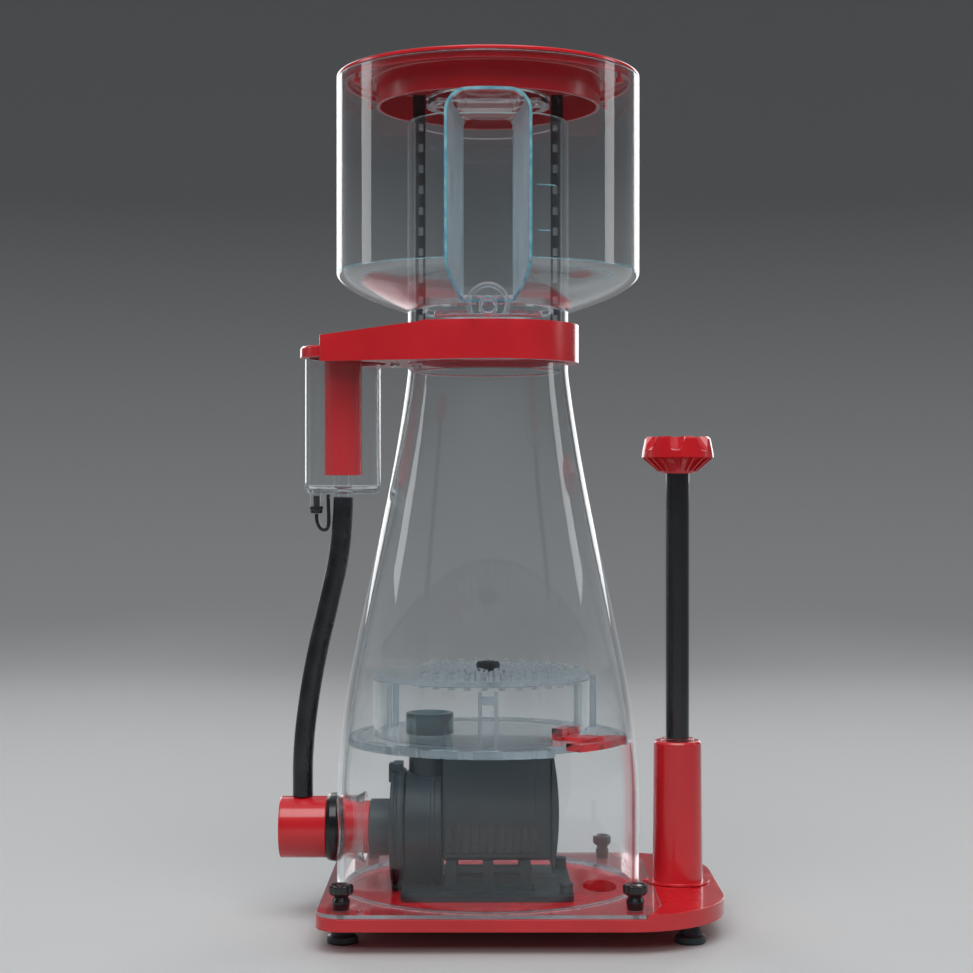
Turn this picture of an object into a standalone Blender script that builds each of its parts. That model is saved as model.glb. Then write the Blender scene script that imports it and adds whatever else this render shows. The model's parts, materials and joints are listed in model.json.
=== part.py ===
"""Protein skimmer for a marine aquarium sump, built piece by piece.

Sizes below are in millimetres, and the helpers turn them into Blender's metres.
Every place is given about the body's axis, which is the parent empty's Z axis.
+Z is up, +X points at the outlet pipe, and -Y is the side that faces the user.
"""
from math import acos, atan2, cos, degrees, hypot, pi, radians, sin, tan

import bmesh
import bpy
from mathutils import Matrix, Vector

MM = 0.001
GAP = 0.3                     # between touching pieces
ROUND = 32                    # sides of the large turned pieces

# Base plate and flange
BASE_BOTTOM = 13.9
BASE_TOP = 21.5               # where the body stands
DECK_TOP = 24.2               # the raised outlet end, flush with the body flange
BASE_LEFT, BASE_RIGHT, BASE_HALF_DEPTH = -104.0, 147.3, 101.0
BASE_LEFT_CORNER, BASE_RIGHT_CORNER = 16.0, 62.0
FLANGE_BOTTOM = BASE_TOP + GAP
FOOT_X, FOOT_Y = (-89.0, 123.7), 66.0
THUMBSCREW_PLACES = {"front_left": (-88.5, -86.5), "front_right": (88.5, -86.5),
                     "rear_left": (-83.0, 81.0), "rear_right": (83.0, 81.0)}
FLOOR_HOLE_X, FLOOR_HOLE_HALF_X, FLOOR_HOLE_HALF_Y = 72.0, 11.0, 20.0

# Cone-shaped body
WALL = 4.0
BODY_R, NECK_R = 97.2, 51.7
BODY_BOTTOM = DECK_TOP + GAP
SHOULDER_Z, NECK_BOTTOM, NECK_TOP = 80.0, 352.0, 372.0

# Pump and its intake, all on one axis along X
PUMP_Z = 59.3
INTAKE_END = -133.7
INTAKE_R, THROAT_R = 19.7, 16.8
VOLUTE_FRONT, VOLUTE_BACK, VOLUTE_R = -52.7, -29.0, 36.5
PUMP_OUTLET_X = -37.6
MOTOR_X0, MOTOR_X1, MOTOR_HALF_Y = -28.5, 39.6, 34.0
MOTOR_BOTTOM, MOTOR_TOP = 44.0, 110.0
WELL_R = 13.5
TRAY_TOP = 25.1

# Bubble diffuser
LEDGE_R, LEDGE_BOTTOM, LEDGE_TOP = 89.6, 114.8, 119.6
DRUM_X, DRUM_R, DRUM_TOP, SIEVE_TOP = -4.2, 69.7, 156.0, 159.3

# Collection cup
CUP_R, CUP_WALL_BOTTOM, CUP_TOP = 97.4, 416.0, 540.0
RISER_R, RISER_TOP = 51.7, 512.0
SPIGOT_R = 47.3
BOWL_EDGE_Z = 391.0
NICHE_FRONT_Y, NICHE_BACK_Y = -93.7, -58.0
NICHE_FRONT_HALF, NICHE_BACK_HALF = 24.6, 15.1
NICHE_FRONT_TOP, NICHE_BACK_TOP = 514.8, 504.9
NICHE_FRONT_CORNER, NICHE_BACK_CORNER = 11.4, 5.0
NICHE_WALL = 1.8
BOSS_Z, SPIGOT_Z = 390.6, 388.6
LID_TOP = 542.6

# Collar with its arm, and the air silencer
COLLAR_R, COLLAR_BORE, COLLAR_BOTTOM, COLLAR_TOP = 58.5, 52.0, 358.0, 382.5
ARM_END_X, ARM_HALF, ARM_CORNER = -106.5, 30.5, 3.0
ARM_SLOPE_X, ARM_SLOPE_TOP, ARM_TIP_TOP = -42.0, 381.8, 374.6
SILENCER_X, SILENCER_R = -93.5, 24.4
SILENCER_BOTTOM, SILENCER_TOP = 274.3, 364.5
CAP_R, CAP_BOTTOM, CAP_TOP = 27.5, 361.2, 368.7
DRAIN_STUB_X, DRAIN_STUB_BOTTOM = -110.7, 266.4

# Outlet pipe with its regulating valve
OUTLET_X, OUTLET_R, OUTLET_TOP = 122.3, 16.1, 115.2
SHAFT_R, KNOB_BOTTOM, KNOB_TOP = 7.5, 287.3, 311.0

# Centres the whole object over its origin: the intake reaches as far left as the base does right.
BODY_X = -(BASE_RIGHT + INTAKE_END) / 2

# Routes of the hose and of the plug's tether: X and Z, in the plane through the body's axis
HOSE_D = 13.0
HOSE_ROUTE = [(-93.5, 272.0), (-93.7, 265.0), (-94.3, 254.0), (-95.3, 242.0), (-97.8, 226.0),
              (-101.2, 211.0), (-104.8, 195.0), (-108.4, 180.0), (-111.7, 164.0), (-114.4, 149.0),
              (-116.7, 133.0), (-118.4, 118.0), (-119.4, 102.0), (-119.5, 90.0), (-119.5, 79.4)]
TETHER_D = 2.4
TETHER_ROUTE = [(-110.7, 261.2), (-110.6, 258.6), (-110.1, 255.6), (-108.6, 252.4), (-106.2, 250.9),
                (-104.1, 251.6), (-103.0, 254.2), (-102.8, 258.4), (-102.9, 263.0), (-103.1, 268.0),
                (-103.2, 273.8)]


# ---------------------------------------------------------------- scene and materials

for old in list(bpy.data.objects):
    bpy.data.objects.remove(old, do_unlink=True)

PARTS = bpy.data.collections.new("protein_skimmer")
CUTTERS = bpy.data.collections.new("cutters")
bpy.context.scene.collection.children.link(PARTS)
bpy.context.scene.collection.children.link(CUTTERS)

FRAME = bpy.data.objects.new("body_axis", None)
FRAME.location = (BODY_X * MM, 0, 0)
PARTS.objects.link(FRAME)


def material(name, colour, roughness, transmission=0.0, metallic=0.0):
    made = bpy.data.materials.new(name)
    made.use_nodes = True
    shader = made.node_tree.nodes["Principled BSDF"]
    shader.inputs["Base Color"].default_value = (*colour, 1.0)
    shader.inputs["Roughness"].default_value = roughness
    shader.inputs["Metallic"].default_value = metallic
    shader.inputs["Transmission Weight"].default_value = transmission
    shader.inputs["IOR"].default_value = 1.49
    made.diffuse_color = (*colour, 1.0)
    return made


RED = material("red_acrylic", (0.58, 0.02, 0.03), 0.18)
CLEAR = material("clear_acrylic", (0.90, 0.96, 0.97), 0.03, transmission=0.95)
DARK = material("pump_plastic", (0.022, 0.040, 0.048), 0.42)
SMOKE = material("smoke_plastic", (0.05, 0.08, 0.09), 0.12, transmission=0.4)
BLACK = material("black_plastic", (0.012, 0.012, 0.014), 0.30)
RUBBER = material("rubber", (0.015, 0.015, 0.016), 0.65)
FOOT_RUBBER = material("foot_rubber", (0.03, 0.05, 0.058), 0.55)
SILICONE = material("clear_silicone", (0.75, 0.78, 0.78), 0.35, transmission=0.5)
CERAMIC = material("ceramic", (0.82, 0.80, 0.74), 0.25)
MAGNET = material("ferrite_magnet", (0.04, 0.04, 0.042), 0.55)
IRON = material("core_laminations", (0.35, 0.35, 0.36), 0.45, metallic=0.9)
COPPER = material("copper_winding", (0.60, 0.24, 0.10), 0.35, metallic=0.9)
STEEL = material("stainless_steel", (0.60, 0.60, 0.60), 0.25, metallic=1.0)


# ---------------------------------------------------------------- helpers

def keep(mesh, name, stuff, at=(0, 0, 0), turn=(0, 0, 0), cutter=False, smooth=30):
    """A mesh in millimetres becomes a named object under the body-axis empty."""
    mesh.transform(Matrix.Scale(MM, 4))
    mesh.shade_smooth()
    mesh.set_sharp_from_angle(angle=radians(smooth))
    thing = bpy.data.objects.new(name, mesh)
    thing.location = Vector(at) * MM
    thing.rotation_euler = turn
    thing.parent = FRAME
    if cutter:
        thing.hide_render = True
        thing.display_type = "WIRE"
        CUTTERS.objects.link(thing)
    else:
        mesh.materials.append(stuff)
        PARTS.objects.link(thing)
    return thing


def finish_bmesh(bm, name):
    bmesh.ops.recalc_face_normals(bm, faces=bm.faces)
    mesh = bpy.data.meshes.new(name)
    bm.to_mesh(mesh)
    bm.free()
    return mesh


def turned(name, profile, stuff=None, at=(0, 0, 0), along="Z", steps=40, cutter=False):
    """A turned piece. The profile holds (radius, height) down its outer side from the top;
    one that starts on the axis ends on it, and any other closes on itself."""
    mesh = bpy.data.meshes.new(name)
    count = len(profile)
    edges = [(i, i + 1) for i in range(count - 1)]
    if profile[0][0] > 0:
        edges.append((count - 1, 0))
    mesh.from_pydata([(r, 0, z) for r, z in profile], edges, [])
    turn = {"Z": (0, 0, 0), "X": (0, pi / 2, 0), "Y": (-pi / 2, 0, 0)}[along]
    thing = keep(mesh, name, stuff, at, turn, cutter)
    screw = thing.modifiers.new("turn", "SCREW")
    screw.steps = steps
    screw.render_steps = steps
    screw.use_merge_vertices = True
    screw.merge_threshold = 0.00001
    screw.use_smooth_shade = True
    return thing


def tube_profile(outer, inner, bottom, top):
    return [(outer, top), (outer, bottom), (inner, bottom), (inner, top)]


def rod(name, radius, bottom, top, stuff=None, at=(0, 0, 0), along="Z", steps=32, cutter=False):
    bm = bmesh.new()
    place = Matrix.Translation((0, 0, (bottom + top) / 2)) @ Matrix.Rotation(pi / steps, 4, "Z")
    bmesh.ops.create_cone(bm, cap_ends=True, segments=steps, radius1=radius, radius2=radius, depth=top - bottom,
                          matrix=place)
    turn = {"Z": (0, 0, 0), "X": (0, pi / 2, 0), "Y": (-pi / 2, 0, 0)}[along]
    return keep(finish_bmesh(bm, name), name, stuff, at, turn, cutter)


def box(name, low, high, stuff=None, cutter=False, bevel=0.0):
    bm = bmesh.new()
    middle = [(a + b) / 2 for a, b in zip(low, high)]
    size = [b - a for a, b in zip(low, high)]
    bmesh.ops.create_cube(bm, size=1.0, matrix=Matrix.Diagonal((*size, 1.0)))
    thing = keep(finish_bmesh(bm, name), name, stuff, middle, cutter=cutter)
    if bevel:
        rounding = thing.modifiers.new("rounding", "BEVEL")
        rounding.width = bevel * MM
        rounding.segments = 2
    return thing


def plate(name, outlines, bottom, top, stuff=None, cutter=False, at=(0, 0, 0)):
    """A flat piece between two heights; the outlines after the first are its holes."""
    curve = bpy.data.curves.new(name, "CURVE")
    curve.dimensions = "2D"
    curve.fill_mode = "BOTH"
    curve.extrude = (top - bottom) / 2
    for outline in outlines:
        spline = curve.splines.new("POLY")
        spline.points.add(len(outline) - 1)
        spline.use_cyclic_u = True
        for point, (x, y) in zip(spline.points, outline):
            point.co = (x, y, 0, 1)
    return from_curve(curve, name, stuff, (at[0], at[1], (bottom + top) / 2 + at[2]), cutter)


def from_curve(curve, name, stuff, at=(0, 0, 0), cutter=False):
    """The mesh of a curve, with its caps welded on."""
    holder = bpy.data.objects.new(name + "_curve", curve)
    bpy.context.scene.collection.objects.link(holder)
    shape = bpy.data.meshes.new_from_object(holder.evaluated_get(bpy.context.evaluated_depsgraph_get()))
    bm = bmesh.new()
    bm.from_mesh(shape)
    bmesh.ops.remove_doubles(bm, verts=bm.verts, dist=0.001)
    bpy.data.objects.remove(holder, do_unlink=True)
    return keep(finish_bmesh(bm, name), name, stuff, at, cutter=cutter)


def cord(name, points, diameter, stuff, resolution):
    curve = bpy.data.curves.new(name, "CURVE")
    curve.dimensions = "3D"
    curve.bevel_depth = diameter / 2
    curve.bevel_resolution = resolution
    curve.use_fill_caps = True
    spline = curve.splines.new("POLY")
    spline.points.add(len(points) - 1)
    for point, (x, z) in zip(spline.points, points):
        point.co = (x, 0, z, 1)
    return from_curve(curve, name, stuff)


def apply_boolean(thing, other, operation):
    cut = thing.modifiers.new(operation.lower(), "BOOLEAN")
    cut.operation = operation
    cut.object = other
    return thing


def cut_by(thing, *cutters):
    for cutter in cutters:
        apply_boolean(thing, cutter, "DIFFERENCE")
    return thing


def add_to(thing, *pieces):
    for piece in pieces:
        apply_boolean(thing, piece, "UNION")
    return thing


def joined(name, pieces, stuff=None, cutter=True):
    """Separate cutters as one object, so that one Boolean does them all."""
    bm = bmesh.new()
    bpy.context.view_layer.update()
    depsgraph = bpy.context.evaluated_depsgraph_get()
    for piece in pieces:
        shape = bpy.data.meshes.new_from_object(piece.evaluated_get(depsgraph))
        shape.transform(Matrix.Scale(1 / MM, 4) @ FRAME.matrix_world.inverted() @ piece.matrix_world)
        bm.from_mesh(shape)
        bpy.data.objects.remove(piece, do_unlink=True)
    mesh = bpy.data.meshes.new(name)
    bm.to_mesh(mesh)
    bm.free()
    return keep(mesh, name, stuff, cutter=cutter)


def arc(centre_x, centre_y, radius, start, end, pieces):
    """Points on an arc; the angles are in degrees."""
    return [(centre_x + radius * cos(radians(start + (end - start) * i / pieces)),
             centre_y + radius * sin(radians(start + (end - start) * i / pieces)))
            for i in range(pieces + 1)]


def circle(centre_x, centre_y, radius, pieces=32):
    return arc(centre_x, centre_y, radius, 0, 360, pieces)[:-1]


def rounded(corners, pieces=5):
    """An outline whose (x, y, radius) corners are rounded."""
    outline = []
    for i, (x, y, radius) in enumerate(corners):
        corner = Vector((x, y))
        before = (Vector(corners[i - 1][:2]) - corner).normalized()
        after = (Vector(corners[(i + 1) % len(corners)][:2]) - corner).normalized()
        if not radius:
            outline.append((x, y))
            continue
        half = before.angle(after) / 2
        middle = corner + (before + after).normalized() * (radius / sin(half))
        first = corner + before * (radius / tan(half)) - middle
        sweep = pi - 2 * half
        side = 1 if before.cross(after) < 0 else -1
        start = atan2(first.y, first.x)
        outline += [(middle.x + radius * cos(start + side * sweep * j / pieces),
                     middle.y + radius * sin(start + side * sweep * j / pieces))
                    for j in range(pieces + 1)]
    return outline


def bezier(p0, p1, p2, p3, pieces):
    def at(t):
        s = 1 - t
        return tuple(s ** 3 * a + 3 * s * s * t * b + 3 * s * t * t * c + t ** 3 * d
                     for a, b, c, d in zip(p0, p1, p2, p3))
    return [at(i / pieces) for i in range(pieces + 1)]


def torus(name, ring_r, wire_r, stuff, at, along="Z", steps=ROUND, sides=4):
    profile = [(ring_r + wire_r * cos(2 * pi * i / sides), -wire_r * sin(2 * pi * i / sides))
               for i in range(sides)]
    return turned(name, profile, stuff, at, along, steps)


# ---------------------------------------------------------------- base

def flange_outline(grow=0.0):
    left, depth = BASE_LEFT + 1.0 - grow, BASE_HALF_DEPTH - 0.3 + grow
    cut_x, side_x = 94.0 + grow, 105.0 + grow
    return rounded([(left, -depth, 15), (cut_x, -depth, 2), (side_x, -74, 4),
                    (side_x, 74, 4), (cut_x, depth, 2), (left, depth, 15)], 3)


def base_plate():
    outline = rounded([(BASE_LEFT, -BASE_HALF_DEPTH, BASE_LEFT_CORNER),
                       (BASE_RIGHT, -BASE_HALF_DEPTH, BASE_RIGHT_CORNER),
                       (BASE_RIGHT, BASE_HALF_DEPTH, BASE_RIGHT_CORNER),
                       (BASE_LEFT, BASE_HALF_DEPTH, BASE_LEFT_CORNER)], 6)
    pipe_hole = circle(OUTLET_X, 0, 12.5, 20)
    floor_hole = [(FLOOR_HOLE_X + FLOOR_HOLE_HALF_X * x, FLOOR_HOLE_HALF_Y * y) for x, y in circle(0, 0, 1, 20)]
    base = plate("base_plate", [outline, pipe_hole, floor_hole], BASE_BOTTOM, DECK_TOP, RED)
    rebate = [(-120, -115), (88.6, -115), (105 + GAP, -74), (105 + GAP, 74), (88.6, 115), (-120, 115)]
    cuts = [plate("rebate", [rebate], BASE_TOP, 40, cutter=True)]
    cut_by(base, *cuts)
    small = [turned("gasket_groove", tube_profile(97.4, 94.2, 19.5, 23), steps=ROUND, cutter=True)]
    small += [rod("foot_socket", 3.0, 10, 19.0, at=(x, y, 0), steps=8, cutter=True)
              for x in FOOT_X for y in (-FOOT_Y, FOOT_Y)]
    small += [rod("screw_socket", 2.6, 15.5, 30, at=(x, y, 0), steps=8, cutter=True)
              for x, y in THUMBSCREW_PLACES.values()]
    return cut_by(base, joined("base_cuts", small))


def outlet_duct():
    def track(half, left, right):
        return arc(right, 0, half, -90, 90, 8) + arc(left, 0, half, 90, 270, 8)
    bottom, top = 6.0, BASE_BOTTOM - GAP
    duct = plate("outlet_duct", [track(23.5, 78.5, 118)], bottom, top, RED)
    return cut_by(duct, plate("duct_hollow", [track(21.3, 78.5, 118)], bottom + 1.8, 20, cutter=True))


def feet():
    profile = [(0, 18.5), (2.6, 18.5), (2.6, 13.6), (4.6, 13.6), (6.6, 7.6), (9.7, 3.6), (9.7, 0), (0, 0)]
    for number, (x, y) in enumerate([(x, y) for x in FOOT_X for y in (-FOOT_Y, FOOT_Y)], 1):
        turned(f"foot_{number}", profile, FOOT_RUBBER, (x, y, 0), steps=12)


def thumbscrews():
    profile = [(0, 39.8), (7.5, 39.8), (7.5, 33.6), (4.4, 31.6), (5.6, 28.6), (5.0, DECK_TOP + GAP),
               (2.2, DECK_TOP + GAP), (2.2, 16.4), (0, 16.4)]
    for place, (x, y) in THUMBSCREW_PLACES.items():
        turned(f"thumbscrew_{place}", profile, BLACK, (x, y, 0), steps=12)


# ---------------------------------------------------------------- body

def body_curve(inset):
    """The cone's side, from the neck down to where it becomes a cylinder."""
    return bezier((NECK_R - inset, NECK_BOTTOM), (65.0 - inset, 242.0), (BODY_R - inset, 155.0),
                  (BODY_R - inset, SHOULDER_Z), 6)


def body_flange():
    holes = [circle(0, 0, BODY_R - WALL + 0.6, ROUND)]
    holes += [circle(x, y, 2.8, 8) for x, y in THUMBSCREW_PLACES.values()]
    plate("body_flange", [flange_outline(), *holes], FLANGE_BOTTOM, DECK_TOP, CLEAR)


def flange_gasket():
    torus("flange_gasket", 95.8, 0.95, SILICONE, (0, 0, 20.6))


def body_cone():
    outside, inside = body_curve(0), body_curve(WALL)
    profile = ([(NECK_R, NECK_TOP)] + outside + [(BODY_R, BODY_BOTTOM), (BODY_R - WALL, BODY_BOTTOM)]
               + inside[::-1] + [(NECK_R - WALL, NECK_TOP)])
    cone = turned("body_cone", profile, CLEAR, steps=ROUND)
    port = rod("port_hole", 20.6, -110, -80, at=(0, 0, PUMP_Z), along="X", steps=24, cutter=True)
    return cut_by(cone, port)


def body_inlet_port():
    profile = [(23.2, -79.0), (20.3, -84.5), (20.3, -103.0), (17.6, -103.0), (17.6, -84.0), (20.9, -79.0)]
    turned("body_inlet_port", profile, CLEAR, (0, 0, PUMP_Z), "X", 24)


# ---------------------------------------------------------------- intake and pump

def intake():
    profile = [(THROAT_R, -76.0), (THROAT_R, -103.6), (INTAKE_R, -103.6), (INTAKE_R, INTAKE_END + 1.2),
               (INTAKE_R - 1.2, INTAKE_END), (16.4, INTAKE_END), (16.4, -118.0), (9.5, -103.6),
               (9.5, -97.0), (14.0, -76.0)]
    body = turned("intake_venturi", profile, RED, (0, 0, PUMP_Z), "X", 26)
    cut_by(body, rod("air_port", 5.0, PUMP_Z + 8, 95, at=(-119.5, 0, 0), steps=12, cutter=True))
    ring = turned("intake_grommet", [(22.0, -90.0), (22.0, -101.2), (20.7, -103.0), (20.6, -103.0), (20.6, -90.0)],
                  RUBBER, (0, 0, PUMP_Z), "X", 24)
    return cut_by(ring, rod("body_clearance", BODY_R + 0.5, 10, 110, steps=ROUND, cutter=True))


def volute_cover():
    profile = [(37.0, -53.0), (38.1, -54.0), (38.1, -60.4), (36.8, -61.7), (18.1, -61.7), (18.1, -75.7),
               (14.2, -75.7), (14.2, -58.6), (31.0, -58.6), (31.0, -53.0), (33.9, -53.0), (33.9, -54.7),
               (36.2, -54.7), (36.2, -53.0)]
    cover = turned("volute_cover", profile, DARK, (0, 0, PUMP_Z), "X", 24)
    foot = box("cover_foot", (-61.5, -16.0, 22.0), (-54.8, -6.0, 27.5), cutter=True)
    latch = box("cover_latch", (-60.4, -9.0, 93.0), (-54.8, 9.0, 101.0), cutter=True)
    spider = box("shaft_spider", (-58.2, -31.5, PUMP_Z - 3.2), (-53.8, 31.5, PUMP_Z + 3.2), cutter=True)
    boss = rod("shaft_boss", 7.6, -58.0, -52.4, at=(0, 0, PUMP_Z), along="X", steps=14, cutter=True)
    seat = rod("bush_seat", 5.3, -57.0, -50.0, at=(0, 0, PUMP_Z), along="X", steps=14, cutter=True)
    below = box("cover_flat", (-70, -60, 0), (-40, 60, 21.9), cutter=True)
    return cut_by(add_to(cover, foot, latch, spider, boss), below, seat)


def volute_case():
    case = rod("volute_case", VOLUTE_R, VOLUTE_FRONT + 0.5, VOLUTE_BACK, DARK, (0, 0, PUMP_Z), "X", 28)
    neck = rod("volute_neck", 13.4, 74, 112, at=(PUMP_OUTLET_X, 0, 0), steps=20, cutter=True)
    hollow = rod("volute_hollow", 33.5, -60, -31.5, at=(0, 0, PUMP_Z), along="X", steps=28, cutter=True)
    bore = rod("neck_bore", 10.9, 80, 120, at=(PUMP_OUTLET_X, 0, 0), steps=20, cutter=True)
    back_hole = rod("back_hole", WELL_R, -40, -20, at=(0, 0, PUMP_Z), along="X", steps=20, cutter=True)
    return cut_by(add_to(case, neck), hollow, bore, back_hole)


def volute_oring():
    torus("volute_oring", 35.05, 0.7, RUBBER, (-53.75, 0, PUMP_Z), "X", 24)


def motor_housing():
    housing = box("motor_housing", (MOTOR_X0, -MOTOR_HALF_Y, MOTOR_BOTTOM), (MOTOR_X1, MOTOR_HALF_Y, MOTOR_TOP),
                  DARK, bevel=2.0)
    hollow = box("motor_hollow", (-20, -30.5, 47), (60, 30.5, 106.5), cutter=True)
    well = rod("well_wall", WELL_R + 1.5, -24, 31, at=(0, 0, PUMP_Z), along="X", steps=20, cutter=True)
    bore = rod("well_bore", WELL_R, -40, 28.8, at=(0, 0, PUMP_Z), along="X", steps=20, cutter=True)
    neck = rod("neck_clearance", 13.8, 73.2, 130, at=(PUMP_OUTLET_X, 0, 0), steps=24, cutter=True)
    louvres = []
    for side in (-1, 1):
        near, far = sorted((side * 29.0, side * 37.0))
        for x in (-24.1 + 5.3 * i for i in range(11)):
            louvres.append(box("louvre", (x - 1.9, near, 48.3), (x + 1.9, far, 66.0), cutter=True))
    cut_by(housing, hollow)
    add_to(housing, well)
    return cut_by(housing, bore, neck, joined("louvres", louvres))


def motor_end_cap():
    bulge, half_height, left = 1.9, (MOTOR_TOP - MOTOR_BOTTOM) / 2 - 1, MOTOR_X1 + GAP
    radius = (half_height ** 2 + bulge ** 2) / (2 * bulge)
    spread = degrees(acos((radius - bulge) / radius))
    outline = [(left, -half_height), *arc(left + 1.5 + bulge - radius, 0, radius, -spread, spread, 8),
               (left, half_height)]
    depth = MOTOR_HALF_Y - 1
    cap = plate("motor_end_cap", [outline], -depth, depth, DARK)
    cap.rotation_euler = (pi / 2, 0, 0)
    cap.location = (0, 0, (MOTOR_BOTTOM + MOTOR_TOP) / 2 * MM)
    return cap


def stator():
    core = box("stator_core", (-8, -25, 47.4), (20, 25, 98), IRON)
    cut_by(core, rod("core_bore", 16.0, -20, 40, at=(0, 0, PUMP_Z), along="X", steps=24, cutter=True),
           box("core_window", (-20, -13, 78), (40, 13, 88), cutter=True))
    coil = box("stator_coil", (-14, -12, 80), (26, 12, 105), COPPER, bevel=2.0)
    cut_by(coil, box("coil_window", (-8.4, -30, 87.6), (20.4, 30, 98.4), cutter=True))


def rotor():
    rod("rotor_shaft", 2.0, -56.8, 26.6, CERAMIC, (0, 0, PUMP_Z), "X", 12)
    turned("rotor_magnet", tube_profile(11.8, 2.3, -24.6, 20.0), MAGNET, (0, 0, PUMP_Z), "X", 20)
    turned("shaft_bush_front", tube_profile(5.0, 2.3, -56.8, -51.6), RUBBER, (0, 0, PUMP_Z), "X", 14)
    turned("shaft_bush_rear", [(13.2, 28.5), (13.2, 26.0), (5.6, 26.0), (5.6, 21.0), (2.3, 21.0), (2.3, 28.5)],
           RUBBER, (0, 0, PUMP_Z), "X", 16)
    profile = [(7.6, -25.2), (7.6, -35.4), (27.0, -35.4), (27.0, -37.6), (8.0, -37.6), (8.0, -46.5), (2.3, -46.5),
               (2.3, -25.2)]
    wheel = turned("needle_wheel", profile, RED, (0, 0, PUMP_Z), "X", 20)
    pins = []
    for count, radius in ((6, 15.0), (10, 24.0)):
        for i in range(count):
            angle = 0.1 + 2 * pi * i / count
            pins.append(rod("pin", 1.4, -46.5, -36.4, steps=4, along="X", cutter=True,
                            at=(0, radius * cos(angle), PUMP_Z + radius * sin(angle))))
    return add_to(wheel, joined("wheel_pins", pins))


def pump_stand():
    tray_half = 51.4
    tray = plate("pump_stand", [rounded([(-54, -tray_half, 4), (53, -tray_half, 4), (53, tray_half, 4),
                                         (-54, tray_half, 4)], 3)], BASE_TOP + GAP, TRAY_TOP, DARK)
    legs = [box("leg", (x - 3.3, side * 31 - 3, 24), (x + 3.3, side * 31 + 3, MOTOR_BOTTOM - GAP), cutter=True)
            for x in (-23.1, 0, 23.3) for side in (-1, 1)]
    legs += [turned("peg", [(0, 32.2), (3.8, 32.2), (4.6, 31.2), (4.6, 23), (0, 23)], at=(x, y, 0), steps=10,
                    cutter=True) for x, y in ((48.4, -42.0), (48.4, 42.0))]
    add_to(tray, joined("stand_legs", legs))
    saddle = rod("volute_saddle", VOLUTE_R + 2.2, -70, -28, at=(0, 0, PUMP_Z), along="X",
                 steps=ROUND, cutter=True)
    return cut_by(tray, saddle)


def pump_outlet_pipe():
    profile = [(14.2, 133.3), (15.5, 132.2), (15.5, 119.9), (13.4, 119.9), (13.4, 112.3), (10.5, 112.3),
               (10.5, 103.0), (8.9, 103.0), (8.9, 133.3)]
    turned("pump_outlet_pipe", profile, SMOKE, (PUMP_OUTLET_X, 0, 0), steps=20)


def cable_gland():
    profile = [(0, 14.0), (3.4, 14.0), (4.0, 6.0), (7.5, 6.0), (7.5, 0.3), (0, 0.3)]
    turned("cable_gland", profile, BLACK, (22.0, MOTOR_HALF_Y, 92.0), "Y", 14).rotation_euler = (-pi / 2, 0, 0)


# ---------------------------------------------------------------- diffuser

LOCK_START, LOCK_END = -52.0, -15.0
LOCK_TRAVEL = 10.0


def sector(inner, outer, start, end, pieces=8):
    return arc(0, 0, outer, start, end, pieces) + arc(0, 0, inner, end, start, pieces)


def diffuser_ledge():
    slots = [sector(82.0, 85.2, a - 7, a + 7, 2) for a in range(0, 280, 24)]
    pipe_hole = circle(PUMP_OUTLET_X, 0, 13.8, 20)
    ledge = plate("diffuser_ledge", [circle(0, 0, LEDGE_R, ROUND), pipe_hole, *slots], LEDGE_BOTTOM, LEDGE_TOP, CLEAR)
    notch = plate("lock_notch", [sector(76.4, 99.0, LOCK_START - LOCK_TRAVEL - 1.5, LOCK_END + 1.5)], 100, 140,
                  cutter=True)
    cut_by(ledge, notch)
    posts = []
    for angle in (-90, 30, 150):
        for side in (-1, 1):
            post = box("post", (-1.2, -2.5, 117), (1.2, 2.5, 154.0), cutter=True)
            spin = radians(angle + 90)
            post.location = Vector((78.2 * cos(radians(angle)) + side * 4.8 * cos(spin),
                                    78.2 * sin(radians(angle)) + side * 4.8 * sin(spin), 135.5)) * MM
            post.rotation_euler = (0, 0, spin)
            posts.append(post)
    return add_to(ledge, joined("ledge_posts", posts))


def diffuser_wall():
    wall = turned("diffuser_wall", tube_profile(DRUM_R, DRUM_R - 3, LEDGE_TOP + GAP, DRUM_TOP), CLEAR, (DRUM_X, 0, 0),
                  steps=ROUND)
    window = plate("lock_window", [sector(60, 80, LOCK_START - LOCK_TRAVEL + 8, LOCK_END - 8, 4)], 110, 123.4,
                   cutter=True)
    return cut_by(wall, window)


def diffuser_plate():
    sieve = plate("diffuser_plate", [circle(DRUM_X, 0, DRUM_R, ROUND), circle(0, 0, 3.4, 12)], DRUM_TOP + GAP,
                  SIEVE_TOP, CLEAR)
    holes = [rod("sieve_hole", 2.4, 150, 170, steps=5, cutter=True,
                 at=(radius * cos(0.1 + 2 * pi * i / count), radius * sin(0.1 + 2 * pi * i / count), 0))
             for count, radius in ((6, 24), (10, 46)) for i in range(count)]
    cut_by(sieve, joined("sieve_holes", holes))
    pins = [rod("sieve_pin", 2.0, 158, 163, steps=4, cutter=True,
                at=(56 * cos(0.2 + 2 * pi * i / 12), 56 * sin(0.2 + 2 * pi * i / 12), 0)) for i in range(12)]
    return add_to(sieve, joined("sieve_pins", pins))


def diffuser_knob():
    profile = [(0, 166.4), (6.4, 166.4), (7.6, 165.0), (7.6, 160.9), (5.0, 159.6), (3.0, 159.6), (3.0, 153.0),
               (0, 153.0)]
    turned("diffuser_knob", profile, BLACK, steps=14)


def plate_lock():
    tab = plate("plate_lock", [sector(77.0, 89.4, LOCK_START, LOCK_END)], 116.6, 121.0, RED)
    middle = (LOCK_START + LOCK_END) / 2
    lever = plate("lock_lever", [sector(54, 80, middle - 7, middle + 7, 3)], LEDGE_TOP + GAP, 122.4, cutter=True)
    block = plate("lock_block", [sector(54, 61.8, middle - 10, middle + 10, 3)], LEDGE_TOP + GAP, 127.5, cutter=True)
    return add_to(tab, lever, block)


# ---------------------------------------------------------------- collection cup

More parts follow.
